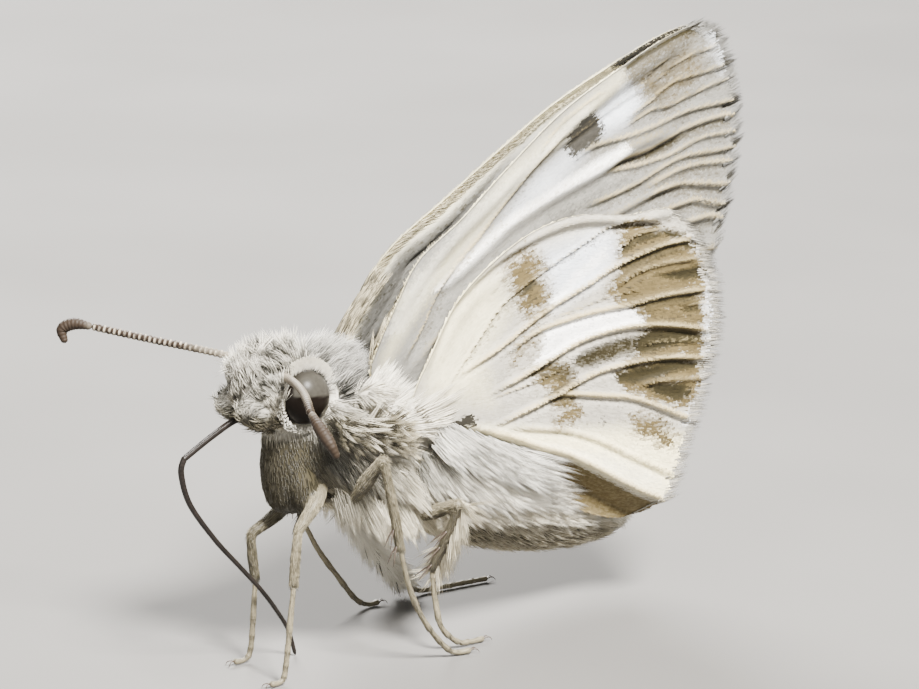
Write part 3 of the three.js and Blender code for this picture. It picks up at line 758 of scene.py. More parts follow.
def wingLooks(values, plane, s, t):  # height of the outer side, and the marks as (outer, upper) pairs
    height, dark, pale, lines = relief(plane, values)
    height += 0.1 * np.sin(math.pi * np.clip(s, 0, 1)) * np.sin(math.pi * t)
    masks = {key: patches(plane, values[key], *edge) for key, edge in markEdges.items()}
    streak = wander(np.column_stack([s * 3, t * 26]), 0.6, 14)[:, 0]
    faded = wander(plane * (1.2, 2.5), 1.6, 23)[:, 0]
    tan = masks["tan"] * (1 - 0.3 * rise(faded, 0.4, 1.3))
    grey = np.maximum(masks["grey"], tan * (0.2 + 0.2 * streak))
    pale *= 1 - 0.45 * tan
    # painted shade under the ridges: dark within the tan marks, tan in the white
    dark = np.maximum(dark, np.maximum(np.minimum(1.4 * lines, 0.95) * tan, 0.3 * lines))
    tan = np.maximum(tan, np.maximum(0.4 * lines, 0.05 + 0.09 * streak))
    if "turnedIn" in values:  # the hindwing's inner edge folds in towards the abdomen; the tan on the turned-in strip is painted shade
        gap, above, share = nearPath(plane, spline(values["turnedIn"], 40))
        height -= np.where(above < 0, 1.5 * gap, 0) * rise(share, 0.05, 0.3)
        folded = np.where(above < 0, rise(gap, 0.02, 0.2), 0)
        tan = np.maximum(tan, folded * rise(share, 0.45, 0.6))
        pale = np.maximum(pale, 0.2 * folded)
        masks["cream"] *= 1 - folded
        masks["shine"] *= 1 - folded
    wedge = 1 - 2 * np.abs((t * upperSide["wedges"]) % 1 - 0.5)
    wedges = rise(s * (0.9 + 0.1 * wedge), upperSide["reach"], upperSide["reach"] + upperSide["softness"])
    wedges *= 0.7 * (1 - rise(s, 0.97, 0.99))
    fromCosta = nearPath(plane, spline(values["costa"], 60))[0]
    # on the upper side towards the base, away from the costa: painted shade of the gap between the closed
    # wings, over the upper side's greyer base
    groove = rise(fromCosta, 0.4, 0.65) * (1 - rise(s, 0.45, 0.75)) * (0.7 if values is foreWing else 0.2)
    if values is foreWing:
        wedges = np.maximum(wedges, patches(plane, [(upperSide["tipBand"], 1.0, 0.2)]))
    crest = np.maximum(pale, lines)
    return np.clip(height, -0.9, 0.24), {
        "oliveAndShade": (dark, groove), "pale": (pale, 0), "shine": (masks["shine"], 0), "blue": (masks["blue"], 0.25),
        "cream": (masks["cream"], 0.9 * bell(fromCosta, 0.5)), "grey": (grey, wedges),
        "tan": (tan, np.maximum(0.25 * tan, 0.35 * bell(fromCosta, 0.6))), "chance": (0.5, 0.5),
        "lift": (0.032 - 0.011 * rise(crest, 0.1, 0.4), 0.032), "amount": (1, 0.5),
        "size": (1 - 0.4 * rise(crest, 0.15, 0.5), 1),
    }


def makeWing(name, values, side):
    n, m = values["along"], values["across"]
    s, t, flat, full = wingSheet(values)
    plane = flat.reshape(-1, 2)
    height, looks = wingLooks(values, plane, s.ravel(), t.ravel())
    half = values["thickness"] / 2 * (0.35 + 0.65 * np.minimum(1, 8 * (1 - s.ravel())))
    front, rear = (wingSpace(values, side, plane, height + lift)[0] for lift in (half, -half))
    rest = n * m
    faces = []
    for i in range(n - 1):
        for j in range(m - 1):
            a = i * m + j
            faces.append([a, a + 1, a + m + 1, a + m])
            faces.append([rest + a, rest + a + m, rest + a + m + 1, rest + a + 1])
    rim = [i * m for i in range(n)] + [(n - 1) * m + j for j in range(1, m)]
    rim += [i * m + m - 1 for i in range(n - 2, -1, -1)] + list(range(m - 2, 0, -1))
    for a, b in zip(rim, rim[1:] + rim[:1]):
        faces.append([b, a, rest + a, rest + b])
    mesh = meshFrom(name, np.vstack([front, rear]), faces)
    lie = normalised(np.gradient(front.reshape(n, m, 3), axis=0).reshape(-1, 3))
    zero = np.zeros(rest)
    place = np.stack([(plane[:, 0] + 1) / 34, (plane[:, 1] + 6) / 18, zero], 1)
    setValues(mesh, lie=np.vstack([lie, lie]), place=np.vstack([place, place + (0.5, 0, 0)]),
              **{key: np.r_[outer + zero, upper + zero] for key, (outer, upper) in looks.items()})
    return mesh, (s, t, flat, full, height.reshape(n, m))


def fringeGround(name, values, side, sheet):  # along the outer margin
    s, t, flat, full, height = sheet
    share = t[-1]
    rows = [wingSpace(values, side, row, height[-1])[0] for row in (flat[-4], flat[-1])]
    reach = wingSpace(values, side, full[-1], height[-1])[0] - rows[0]
    long = np.linalg.norm(reach, axis=1)
    stray = 0.12 * wander(rows[0], 0.35, 8) * (0, 1, 1)
    check = 0.75 * rise(np.sin(share * 62 + 2 * np.sin(9 * share)), 0.35, 0.9)
    if values is hindWing:
        check = 0.35 * check
    return band(name, rows, share, (0.05, 0.95, 0.3, 0.6), lie=reach / long[:, None] + stray,
                size=np.r_[1.12 * long, 0.85 * long], amount=np.repeat([0.5, 1.9], len(share)),
                tan=0.6 * check, grey=np.maximum(check, 0.25), blue=0.1)


def costaGround(name, values, side, sheet, columns, sink, scale):  # fine hairs slanting off the leading edge
    s, t, flat, full, height = sheet
    height = height - sink
    rows = [wingSpace(values, side, flat[:, j], height[:, j])[0] for j in columns]
    outward = rows[1] - rows[0]
    lie = normalised(np.gradient(rows[1], axis=0)) + 0.7 * outward / np.linalg.norm(outward, axis=1)[:, None]
    lie -= 0.15 * wingSpace(values, side, flat[:1, 0], height[:1, 0])[1]
    share = s[:, 0]
    root = 1 - rise(share, 0.1, 0.3)
    return band(name, rows, share, (0.05, 0.95, 0.3, 0.6), lie=lie, amount=1.0,
                size=scale * (1.1 - rise(share, 0.05, 0.75)), tan=0.3 + 0.3 * root, cream=0.4, pale=0.3,
                shine=0.2 * (1 - root))


for name, side in sides.items():
    for kind, values in (("forewing", foreWing), ("hindwing", hindWing)):
        label, finish = f"{kind}_{name}", wingFinishes[kind]
        seed = 22 + side if kind == "forewing" else 19 + side
        mesh, sheet = makeWing(label, values, side)
        scales = grow(label, mesh, "scale", finish, seed, wingCoats["scales"])
        edge = fringeGround(label, values, side, sheet)
        fringe = grow(label, edge, "single", finish, seed + 1, wingCoats["fringe"])
        mesh.materials.append(finish)
        settle(f"{label}_membrane", mesh, "wing", label)
        settle(f"{label}_scales", scales, "wing")
        settle(f"{label}_fringe", fringe, "wing")
        if kind == "forewing":
            for part, place in costaRows.items():
                edge = costaGround(label, values, side, sheet, *place)
                hairs = grow(label, edge, "single", finish, seed + 2, wingCoats["costa"])
                settle(f"{label}_{part}", hairs, "wing")
print("wings made")


# body: round forms along the middle plane, [back, up, half-width, half-height], joined into one skin

bodyForms = {
    "head": {"depth": 0.26, "stations": [
        (-3.75, 8.75, 0.3, 0.3), (-4.1, 8.85, 1.25, 1.2), (-4.7, 9.05, 1.5, 1.5), (-5.4, 9.15, 1.4, 1.45),
        (-6.0, 9.1, 1.15, 1.15), (-6.4, 9.0, 0.4, 0.4)]},
    "collar": {"depth": 0.42, "stations": [
        (-4.25, 9.6, 0.5, 0.5), (-3.9, 9.45, 1.1, 0.85), (-3.2, 9.2, 1.55, 1.3), (-2.5, 8.9, 1.5, 1.25),
        (-1.9, 8.6, 0.5, 0.5)]},
    "thorax": {"depth": 0.3, "stations": [
        (-4.45, 8.1, 0.4, 0.4), (-3.9, 7.85, 1.55, 1.75), (-2.9, 7.4, 2.05, 2.35), (-1.7, 6.8, 2.2, 2.45),
        (-0.5, 6.1, 2.0, 2.2), (0.5, 5.5, 1.6, 1.75), (1.1, 5.1, 0.9, 1.0)]},
    "chest": {"depth": 0.22, "stations": [
        (-4.3, 8.3, 0.3, 0.3), (-4.25, 7.8, 1.0, 1.15), (-4.15, 7.1, 1.2, 1.33), (-4.15, 6.4, 1.25, 1.37),
        (-4.15, 5.7, 1.15, 1.3), (-4.15, 5.2, 0.95, 1.1), (-4.1, 4.85, 0.3, 0.3)]},
    "abdomen": {"depth": 0.16, "stations": [
        (0.0, 5.7, 0.9, 0.9), (0.7, 5.3, 1.65, 1.7), (2.2, 4.45, 1.8, 1.75), (4.0, 3.65, 1.65, 1.6),
        (6.0, 3.05, 1.4, 1.35), (7.7, 2.7, 1.1, 1.0), (8.6, 2.5, 0.7, 0.6), (8.85, 2.45, 0.3, 0.3)]},
}
# x is measured outward from the middle plane on the piece's own side
pairedForms = {
    "palp": {"path": [(0.6, -5.3, 8.15), (0.62, -6.0, 8.5), (0.6, -6.45, 8.85)], "radii": [0.34, 0.45, 0.36]},
    "coxa": {"path": [(0.55, -4.45, 6.7), (0.72, -4.35, 5.8), (0.95, -4.15, 5.2)],
             "radii": [0.45, 0.52, 0.4]},
    "tegula": {"path": [(1.35, -2.75, 8.7), (1.7, -2.25, 8.85), (1.72, -1.6, 8.8)],
               "radii": [0.15, 0.34, 0.16]},
    "shoulder": {"path": [(1.2, -2.4, 8.7), (1.55, -1.6, 8.3), (1.7, -0.7, 7.6)], "radii": [0.35, 0.5, 0.3]},
}
skinValues = {"voxel": 0.084, "smooth": 4, "legSides": 14, "segments": 8.2, "segmentDepth": 0.035}
floorRise = 0.13  # the middle of a foot that lies on the floor
legs = {
    "fore_left": {
        "femur": [(0.7, -3.5, 6.0), (1.3, -4.25, 5.5), (1.6, -5.1, 4.8)],
        "tibia": [(1.6, -5.1, 4.8), (1.8, -5.35, 4.0), (1.9, -5.5, 3.1)],
        "tarsus": [(1.9, -5.5, 3.1), (2.05, -5.8, 1.5), (2.12, -6.0, 0.4), (2.15, -6.2, floorRise),
            (2.17, -6.6, floorRise)],
    },
    "fore_right": {
        "femur": [(0.6, -3.4, 5.6), (0.6, -4.5, 4.7), (0.6, -5.5, 4.2)],
        "tibia": [(0.6, -5.5, 4.2), (0.55, -5.48, 3.4), (0.5, -5.42, 2.66)],
        "tarsus": [(0.5, -5.42, 2.66), (0.4, -5.6, 1.3), (0.33, -5.75, 0.4), (0.3, -6.0, floorRise),
            (0.3, -6.4, floorRise)],
    },
    "mid_left": {
        "femur": [(1.2, -2.95, 5.1), (2.2, -2.9, 6.2), (3.0, -2.8, 7.1)],
        "tibia": [(3.0, -2.8, 7.1), (3.15, -2.55, 5.5), (3.2, -2.3, 4.0)],
        "tarsus": [(3.2, -2.3, 4.0), (3.15, -1.9, 2.6), (3.08, -1.25, 1.35), (2.98, -0.4, 0.35),
            (3.02, 0.0, floorRise), (3.1, 0.5, floorRise)],
    },
    "mid_right": {
        "femur": [(1.2, -2.95, 5.1), (2.2, -2.9, 6.1), (2.95, -2.7, 6.8)],
        "tibia": [(2.95, -2.7, 6.8), (3.0, -2.4, 5.0), (2.9, -2.0, 3.3)],
        "tarsus": [(2.9, -2.0, 3.3), (2.8, -1.5, 2.3), (2.7, -0.9, 1.4), (2.65, -0.2, 0.45),
            (2.65, 0.3, floorRise), (2.65, 0.8, floorRise)],
    },
    "hind_left": {
        "femur": [(1.1, -1.0, 4.4), (1.9, -0.4, 4.6), (3.2, 0.0, 5.2)],
        "tibia": [(3.2, 0.0, 5.2), (2.6, -0.1, 3.9), (2.0, -0.28, 2.7)],
        "tarsus": [(2.0, -0.28, 2.7), (2.2, -0.28, 1.7), (2.42, -0.2, 0.86), (2.42, 0.4, 0.25),
            (2.42, 0.9, floorRise), (2.4, 1.5, floorRise)],
    },
    "hind_right": {
        "femur": [(1.0, -1.3, 4.9), (1.9, -1.1, 4.3), (2.65, -0.8, 3.75)],
        "tibia": [(2.65, -0.8, 3.75), (2.75, 0.5, 2.2), (2.8, 1.85, 0.6)],
        "tarsus": [(2.8, 1.85, 0.6), (2.78, 2.4, 0.2), (2.75, 3.1, floorRise), (2.6, 5.2, floorRise)],
    },
}
legGirth = {"femur": (0.17, 0.25, 0.17), "tibia": (0.15, 0.17, 0.165), "tarsus": 0.092}
limbs = [f"{leg}_{part}" for leg in legs for part in ("femur", "tibia")]

sources = []  # each form's points, for finding afterwards what a spot of skin belongs to


def addForm(part, shape):
    points, faces, about = shape
    sources.append({"part": part, "points": points, "faces": faces, **about})


for part, values in bodyForms.items():
    line = spline(values["stations"], 40)
    path = np.column_stack([np.zeros(40), line[:, 0], line[:, 1]])
    wide, high = np.maximum(line[:, 2:].T - values["depth"], 0.12)
    if part == "abdomen":  # shallow rings where its segments meet
        segment = (np.linspace(0, 1, 40) * skinValues["segments"]) % 1 - 0.5
        ring = skinValues["segmentDepth"] * bell(segment, 0.13)
        wide, high = wide - ring, high - ring
    addForm(part, sweep(path, wide, high))
for name, side in sides.items():
    for part, values in pairedForms.items():
        radius = girth(values["radii"], 14)
        addForm(part, sweep(spline(mirrored(values["path"], side), 14), radius, radius, around=14))
    for limb in limbs:
        leg, part = limb.rsplit("_", 1)
        if leg.endswith(name):
            radius = girth(legGirth[part], 18)
            path = spline(mirrored(legs[leg][part], side), 18)
            addForm(limb, sweep(path, radius, radius, around=skinValues["legSides"]))

rough = inScene("rough", meshFrom("rough", *joined([(s["points"], s["faces"]) for s in sources])))
remesh = rough.modifiers.new("skin", "REMESH")
remesh.mode, remesh.voxel_size = "VOXEL", skinValues["voxel"]
smooth = rough.modifiers.new("smooth", "SMOOTH")
smooth.factor, smooth.iterations = 0.5, skinValues["smooth"]
graph = bpy.context.evaluated_depsgraph_get()
skin = bpy.data.meshes.new_from_object(rough.evaluated_get(graph), depsgraph=graph)
bpy.data.objects.remove(rough)
skin.shade_smooth()
print("skin:", len(skin.polygons), "faces")

where = readValues(skin.vertices, "co", 3)
facing = readValues(skin.vertex_normals, "vector", 3, np.float32)
x, y, z = where.T
known = np.vstack([s["points"] for s in sources])
tree = KDTree(len(known))
for i, p in enumerate(known):
    tree.insert(p, i)
tree.balance()
nearest = np.array([tree.find(p)[1] for p in where])
partOf = np.concatenate([[s["part"]] * len(s["points"]) for s in sources])[nearest]
shareOf, angleOf, tangentOf = (
    np.concatenate([s[key] for s in sources])[nearest] for key in ("share", "angle", "tangent"))
below = rise(-facing[:, 2], -0.25, 0.75)
head = np.isin(partOf, ("head", "palp"))
limb = np.isin(partOf, limbs)
breast = rise(-y, 3.2, 4.2)  # towards the front


def laidAlong(direction):  # a direction pressed flat on the skin
    flat = direction - (direction * facing).sum(1)[:, None] * facing
    return flat / (np.linalg.norm(flat, axis=1)[:, None] + 1e-9)


def away(centre):  # outward from a point
    direction = where - np.array(centre)
    return direction / (np.linalg.norm(direction, axis=1)[:, None] + 1e-9)


def spot(centre, spread):  # a soft patch on both sides
    gap = (np.column_stack([np.abs(x), y, z]) - np.array(centre)) / np.array(spread)
    return np.exp(-(gap**2).sum(1))


def paint():  # tone (dark to light) and warmth (grey to cream) over skin and coat alike; darker and warmer below, under the head and on the chest, where it is painted shade
    # darker and warmer where the skin faces down: painted shade
    tone = 0.88 - 0.4 * below
    warm = 0.4 + 0.5 * below
    # the head darker below, and its underside and the chest dark and olive: painted shade under the head
    throat = rise(-z, -8.75, -8.2)
    tone = np.where(head, 0.36 - 0.1 * below + 0.12 * wander(where, 0.5, 9)[:, 0], tone)
    tone = np.where(head, tone + (0.04 - tone) * throat, tone)
    warm = np.where(head, np.maximum(0.38 + 0.35 * below, throat), warm)
    chest = breast * rise(-z, -8.0, -7.2) * (partOf != "head")
    tone = tone - (0.06 + tone) * chest
    warm = np.maximum(warm, chest)
    # the abdomen's underside darker: painted shade
    belly = (partOf == "abdomen") * rise(-facing[:, 2], -0.5, 0.3)
    tone -= 0.12 * belly
    warm = np.maximum(warm, 0.7 * belly)
    for parts, light, cream in (("collar", 0.26, 0.22), (("tegula", "shoulder"), 1.0, 0.45)):
        chosen = np.isin(partOf, parts)
        tone = np.where(chosen, light, tone)
        warm = np.where(chosen, cream, warm)
    brown = np.maximum(spot((1.9, -3.6, 8.1), (1.0, 0.8, 0.9)), spot((2.05, -2.2, 7.5), (0.9, 1.2, 0.65)))
    brown = np.maximum(brown, 0.7 * spot((1.9, 0.1, 5.6), (0.8, 0.6, 0.8)))
    tone -= 0.85 * brown + 0.3 * spot((1.5, -2.85, 9.0), (0.6, 0.35, 0.3))
    # a dark spot at each feeler's base: painted shade in the pit there
    tone -= 0.5 * spot((0.5, -5.15, 10.2), (0.3, 0.3, 0.4))
    warm = np.maximum(warm, 0.9 * brown)
    # legs darker on their undersides, and the right forelegs darker still: painted shade
    tone = np.where(limb, 0.23 - 0.12 * below, tone)
    warm = np.where(limb, 1.0, warm)
    tone -= 0.08 * (limb & (x < 0) & (y < -1))
    return tone, warm


toneOf, warmOf = paint()
contrastOf = np.where(breast * (z < 8.3) > 0.4, 0.14, 1.0)
contrastOf = np.where(limb, 0.45, contrastOf)
contrastOf = np.where((partOf == "head") & (z > 8.5), 1.4, contrastOf)
# the skin is darker than its coat: painted shade between the tufts
setValues(skin, tone=toneOf - 0.12, warm=warmOf, contrast=contrastOf, tip=0.5, chance=0.5)


def skinCoat(name, values, coat):
    ground = skin.copy()
    parts = values["parts"]
    column = np.zeros(len(where))
    for i, part in enumerate(parts):
        column[partOf == part] = i
    place = np.stack([(column + 0.04 + 0.92 * angleOf) / len(parts), 0.03 + 0.94 * shareOf, 0 * shareOf], 1)
    uneven = 0.09 * wander(where, 0.55, values["seed"])[:, 0]
    setValues(ground, lie=laidAlong(values["lie"]), lift=values["lift"], size=values.get("size", 1.0),
              amount=np.isin(partOf, parts) * values.get("amount", 1.0), place=place,
              tone=values.get("tone", toneOf) + uneven * contrastOf, warm=values.get("warm", warmOf),
              contrast=contrastOf)
    return grow(name, ground, values["shape"], hairFinish, values["seed"], coat)


eyeGap = np.linalg.norm((np.abs(where) * (1, 0, 0) + where * (0, 1, 1) - np.array(eye["centre"]))
                        / np.array(eye["radii"]), axis=1)
crown = rise(z, 9.1, 9.9)
front = rise(-y, 3.5, 4.3)
stray = wander(where, 0.8, 3)
near = x > 0
hindTibiae = ["hind_left_tibia", "hind_right_tibia"]
brushed = np.isin(partOf, hindTibiae)
hindFacing = np.where(near, rise(facing[:, 1], 0.0, 0.5), 0.6 + 0.4 * rise(facing[:, 1], -0.6, 0.4))
coats = {
    "head": (
        {"parts": ["head", "palp"], "shape": "hair", "seed": 21,
         "lie": away((0, -4.4, 8.2)) + (0, -0.35, 0.5) + 0.6 * stray, "lift": 0.45 + 0.9 * crown,
         "size": 0.6 + 0.6 * crown + 0.1 * stray[:, 1], "amount": rise(eyeGap, 1.02, 1.12)},
        {"density": 74.0, "length": 0.52, "width": 0.036, "spread": 0.28, "variation": 0.4}),
    "collar": (
        {"parts": ["collar"], "shape": "hair", "seed": 22,
         "lie": away((0, -3.0, 8.4)) * 0.5 + (0, 0.9, 0.25) + 0.35 * stray, "lift": 0.6},
        {"density": 120.0, "length": 0.85, "width": 0.034, "spread": 0.2, "variation": 0.3}),
    "shoulder": (
        {"parts": ["tegula", "shoulder"], "shape": "hair", "seed": 26,
         "lie": np.array([0, 1.0, -0.5]) + 0.12 * stray, "lift": 0.3},
        {"density": 110.0, "length": 0.6, "width": 0.036, "spread": 0.08, "variation": 0.25}),
    "thorax": (
        {"parts": ["thorax", "chest", "coxa"], "shape": "hair", "seed": 23,
         "lie": np.outer(1 - front, [0, 0.85, -0.65]) + np.outer(front, [0, 0.2, -1.0])
         + (0.3 - 0.24 * front)[:, None] * stray,
         "lift": 0.42 - 0.38 * front, "size": 1.0 - 0.65 * front, "amount": 1.0 + 0.5 * front},
        {"density": 66.0, "length": 0.95, "width": 0.034, "spread": 0.14, "variation": 0.3}),
    "abdomen": (
        {"parts": ["abdomen"], "shape": "hair", "seed": 24,
         "lie": tangentOf + np.array([0, 0, -0.25]) + 0.12 * stray, "lift": 0.28},
        {"density": 66.0, "length": 0.6, "width": 0.034, "spread": 0.1, "variation": 0.3}),
    "legs": (
        {"parts": limbs, "shape": "single", "seed": 25, "lie": tangentOf, "lift": 0.06},
        {"density": 250.0, "length": 0.26, "width": 0.024, "thickness": 0.016, "spread": 0.03,
         "variation": 0.3}),
    "brush": (  # long pale hair behind the hind tibiae
        {"parts": hindTibiae, "shape": "hair", "seed": 27,
         "lie": tangentOf + 0.2 * stray, "lift": 0.6,
         "size": np.where(near, 1.15, 0.95) * np.clip(z, 0.4, 1.0), "amount": hindFacing,
         # the far brush is made lighter: painted light where it lies in shade under the body
         "tone": np.where(brushed, np.where(near, 0.9, 1.25), toneOf),
         "warm": np.where(brushed, np.where(near, 0.75, 0.35), warmOf)},
        {"density": 240.0, "length": 0.95, "width": 0.03, "spread": 0.15, "variation": 0.3}),
}
for part, (values, coat) in coats.items():
    settle(f"coat_{part}", skinCoat(part, values, coat), "leg" if part in ("legs", "brush") else "coat")

skin.materials.append(hairFinish)
fleshNodes = ["head", "palp_left", "palp_right", "collar", "thorax", "abdomen", "tegula_left", "tegula_right"]
settle("body_skin", skin, "coat", *fleshNodes, *limbs)
print("body made")


# long silky hair: rows of roots, each combed its own way

silk = {
    "fan": {
        "path": [(2.22, -0.3, 7.4), (2.3, 0.4, 7.05), (2.34, 1.2, 6.65), (2.36, 2.2, 6.2), (2.36, 3.2, 5.8)],
        "lie": [(0.04, 0.8, -1.0), (0.05, 0.9, -0.9), (0.04, 1.0, -0.7), (0.02, 1.0, -0.55),
            (0.0, 1.0, -0.5)],
        "across": (0.1, -0.3, -0.8), "size": [1.2, 2.2, 2.6, 2.5, 1.9], "tone": 1.0, "warm": 0.2,
        "count": 105,
    },
    "hinge": {
        "path": [(1.7, -2.3, 9.25), (1.85, -2.0, 8.7), (2.1, -1.6, 8.1), (2.25, -1.2, 7.5)],
        "lie": [(0.12, 0.7, 1.0), (0.15, 1.0, 0.7), (0.15, 1.0, 0.3), (0.12, 1.0, -0.1)],
        "across": (0.05, 0.35, 0.1), "size": [0.9, 1.1, 1.2, 1.2], "tone": 1.05, "warm": 0.4, "count": 130,
    },
    "veil": {
        "path": [(2.27, -1.0, 8.4), (2.29, -0.8, 8.1), (2.31, -0.6, 7.8), (2.31, -0.4, 7.55)],
        "lie": [(0.03, 1.0, 0.6), (0.02, 1.0, 0.25), (0.02, 1.0, 0.02), (0.02, 1.0, -0.18)],
        "across": (0.02, 0.25, 0.1), "size": [1.2, 1.8, 1.5, 0.8], "tone": 1.05, "warm": 0.5, "count": 95,
    },
    "ruff": {
        "path": [(1.2, -1.9, 9.2), (1.1, -1.65, 10.0), (1.0, -1.05, 10.9), (0.92, -0.4, 11.7)],
        "lie": [(-0.1, 0.35, 1.0), (-0.1, 0.5, 1.0), (-0.05, 0.6, 0.9), (0.0, 0.7, 0.8)],
        "across": (0.0, 0.5, -0.25), "size": [1.1, 1.2, 1.0, 0.6], "tone": 0.26, "warm": 0.95, "count": 80,
    },
    "flank": {
        "path": [(2.0, -0.8, 6.4), (2.1, 0.5, 5.9), (1.95, 2.0, 5.4), (1.75, 3.6, 4.8), (1.5, 5.2, 4.2)],
        "lie": [(0.2, 0.4, -1.0), (0.2, 0.7, -0.8), (0.15, 0.9, -0.65), (0.12, 1.0, -0.5), (0.1, 1.0, -0.4)],
        "across": (0.1, -0.2, -0.8), "size": [1.5, 1.7, 1.6, 1.4, 1.1],
        "tone": [0.5, 0.6, 1.0, 1.0, 1.0, 1.0], "warm": 0.35, "count": 110,
    },
    "belly": {
        "path": [(1.95, 0.2, 5.0), (1.85, 1.6, 4.55), (1.7, 3.2, 4.1), (1.5, 5.0, 3.6), (1.2, 6.4, 3.2)],
        "lie": [(0.2, 0.6, -0.9), (0.2, 0.8, -0.7), (0.15, 1.0, -0.6), (0.1, 1.0, -0.5), (0.1, 1.0, -0.4)],
        "across": (0.05, -0.1, -0.6), "size": [0.9, 1.0, 0.95, 0.85, 0.7], "tone": 0.7, "warm": 0.6,
        "count": 110,
    },
    "thicket": {
        "path": [(1.75, -4.15, 8.0), (2.05, -3.5, 7.9), (2.2, -2.7, 7.75), (2.25, -1.9, 7.55),
            (2.2, -1.2, 7.35)],
        "lie": [(0.5, 0.5, -0.9), (0.5, 0.7, -0.5), (0.4, 0.9, 0.1), (0.3, 1.0, -0.2), (0.2, 1.0, -0.4)],
        "across": (0.15, 0.1, -0.9), "size": [0.5, 0.75, 0.8, 0.75, 0.6],
        "tone": [-0.1, -0.1, -0.05, 0.1, 0.45], "warm": 0.95, "count": 120, "stray": 0.8, "curl": 0.35,
    },
    "thicketPale": {
        "path": [(2.0, -3.9, 8.2), (2.15, -3.2, 7.95), (2.3, -2.4, 7.7), (2.3, -1.6, 7.45)],
        "lie": [(0.5, 0.7, -0.6), (0.5, 0.8, 0.2), (0.4, 0.9, -0.4), (0.3, 1.0, 0.1)],
        "across": (0.15, 0.1, -0.9), "size": [0.6, 0.8, 0.9, 0.8], "tone": [0.6, 0.7, 0.85, 0.95],
        "warm": 0.6, "count": 15, "stray": 0.9, "curl": 0.3,
    },
    "under": {
        "path": [(1.3, -3.6, 5.6), (1.75, -2.6, 5.15), (1.85, -1.4, 4.9), (1.8, 0.0, 4.75)],
        "lie": [(0.1, 0.2, -1.0), (0.12, 0.3, -1.0), (0.12, 0.45, -0.95), (0.1, 0.7, -0.8)],
        "across": (0.1, 0, 0.7), "size": [0.8, 1.1, 1.2, 1.1], "tone": [0.5, 0.75, 0.9, 0.95], "warm": 0.6,
        "count": 100,
    },
    "breast": {
        "path": [(1.5, -3.9, 7.0), (1.9, -3.0, 6.6), (2.1, -1.8, 6.2), (1.95, -0.6, 5.6)],
        "lie": [(0.2, 0.5, -0.9), (0.2, 0.6, -0.9), (0.15, 0.8, -0.8), (0.1, 0.9, -0.8)],
        "across": (0, 0, 0.9), "size": [1.1, 1.4, 1.5, 1.5], "tone": [0.1, 0.25, 0.75, 0.95], "warm": 0.55,
        "count": 90,
    },
}

def ribbon(name, values, side):  # a strip of ground along a path, where long hair stands
    line = spline(mirrored(values["path"], side), 30)
    offset = mirrored(values["across"], side) * 0.5
    rows = [line - offset, line + offset]
    t = np.linspace(0, 1, 30)
    lie = mirrored(values["lie"], side)
    lie = normalised(np.stack([girth(lie[:, k], 30) for k in range(3)], 1))
    stray = values.get("stray", 0.14) * wander(np.vstack(rows), values.get("curl", 0.7), 6)
    return band(name, rows, t, lie=np.vstack([lie, lie]) + stray, size=girth(values["size"], 30), amount=1.0,
                tone=girth(np.atleast_1d(values["tone"]), 30), warm=values["warm"], contrast=1.0)


for name, side in sides.items():
    for i, (part, values) in enumerate(silk.items()):
        coat = {"density": values["count"], "length": 1.0, "width": 0.03, "spread": 0.07, "variation": 0.3}
        hair = grow(part, ribbon(part, values, side), "lock", hairFinish, 31 + i, coat)
        settle(f"silk_{part}_{name}", hair, "coat")
print("silk made")


# eyes

eyeRing = {
    "rows": ((1.0, 0.14), (1.26, -0.04)),  # how wide, how far outward
    "coat": {"density": 1500.0, "length": 0.22, "width": 0.06, "thickness": 0.008, "spread": 0.06,
             "variation": 0.25},
}


def eyeMaterial():
    material, tree, shader = newMaterial("eyeGloss", 0.3, 0.08)
    vector = put(tree, "ShaderNodeTexCoord").outputs["Object"]
    cells = put(tree, "ShaderNodeTexVoronoi", {"Vector": vector, "Scale": 38000.0})
    base = mixed(tree, noise(tree, 2500.0), colour(0.002, 0.0015, 0.001), colour(0.006, 0.004, 0.003))
    # a grey cap over the upper eye: a painted reflection of the sky
    dusty = mixed(tree, noise(tree, 9000.0), colour(0.026, 0.024, 0.020), colour(0.044, 0.041, 0.034))
    base = mixed(tree, attribute(tree, "dusty"), base, dusty)
    coloured(tree, shader, base, cells.outputs["Distance"], 0.06, 0.00001)
    return material


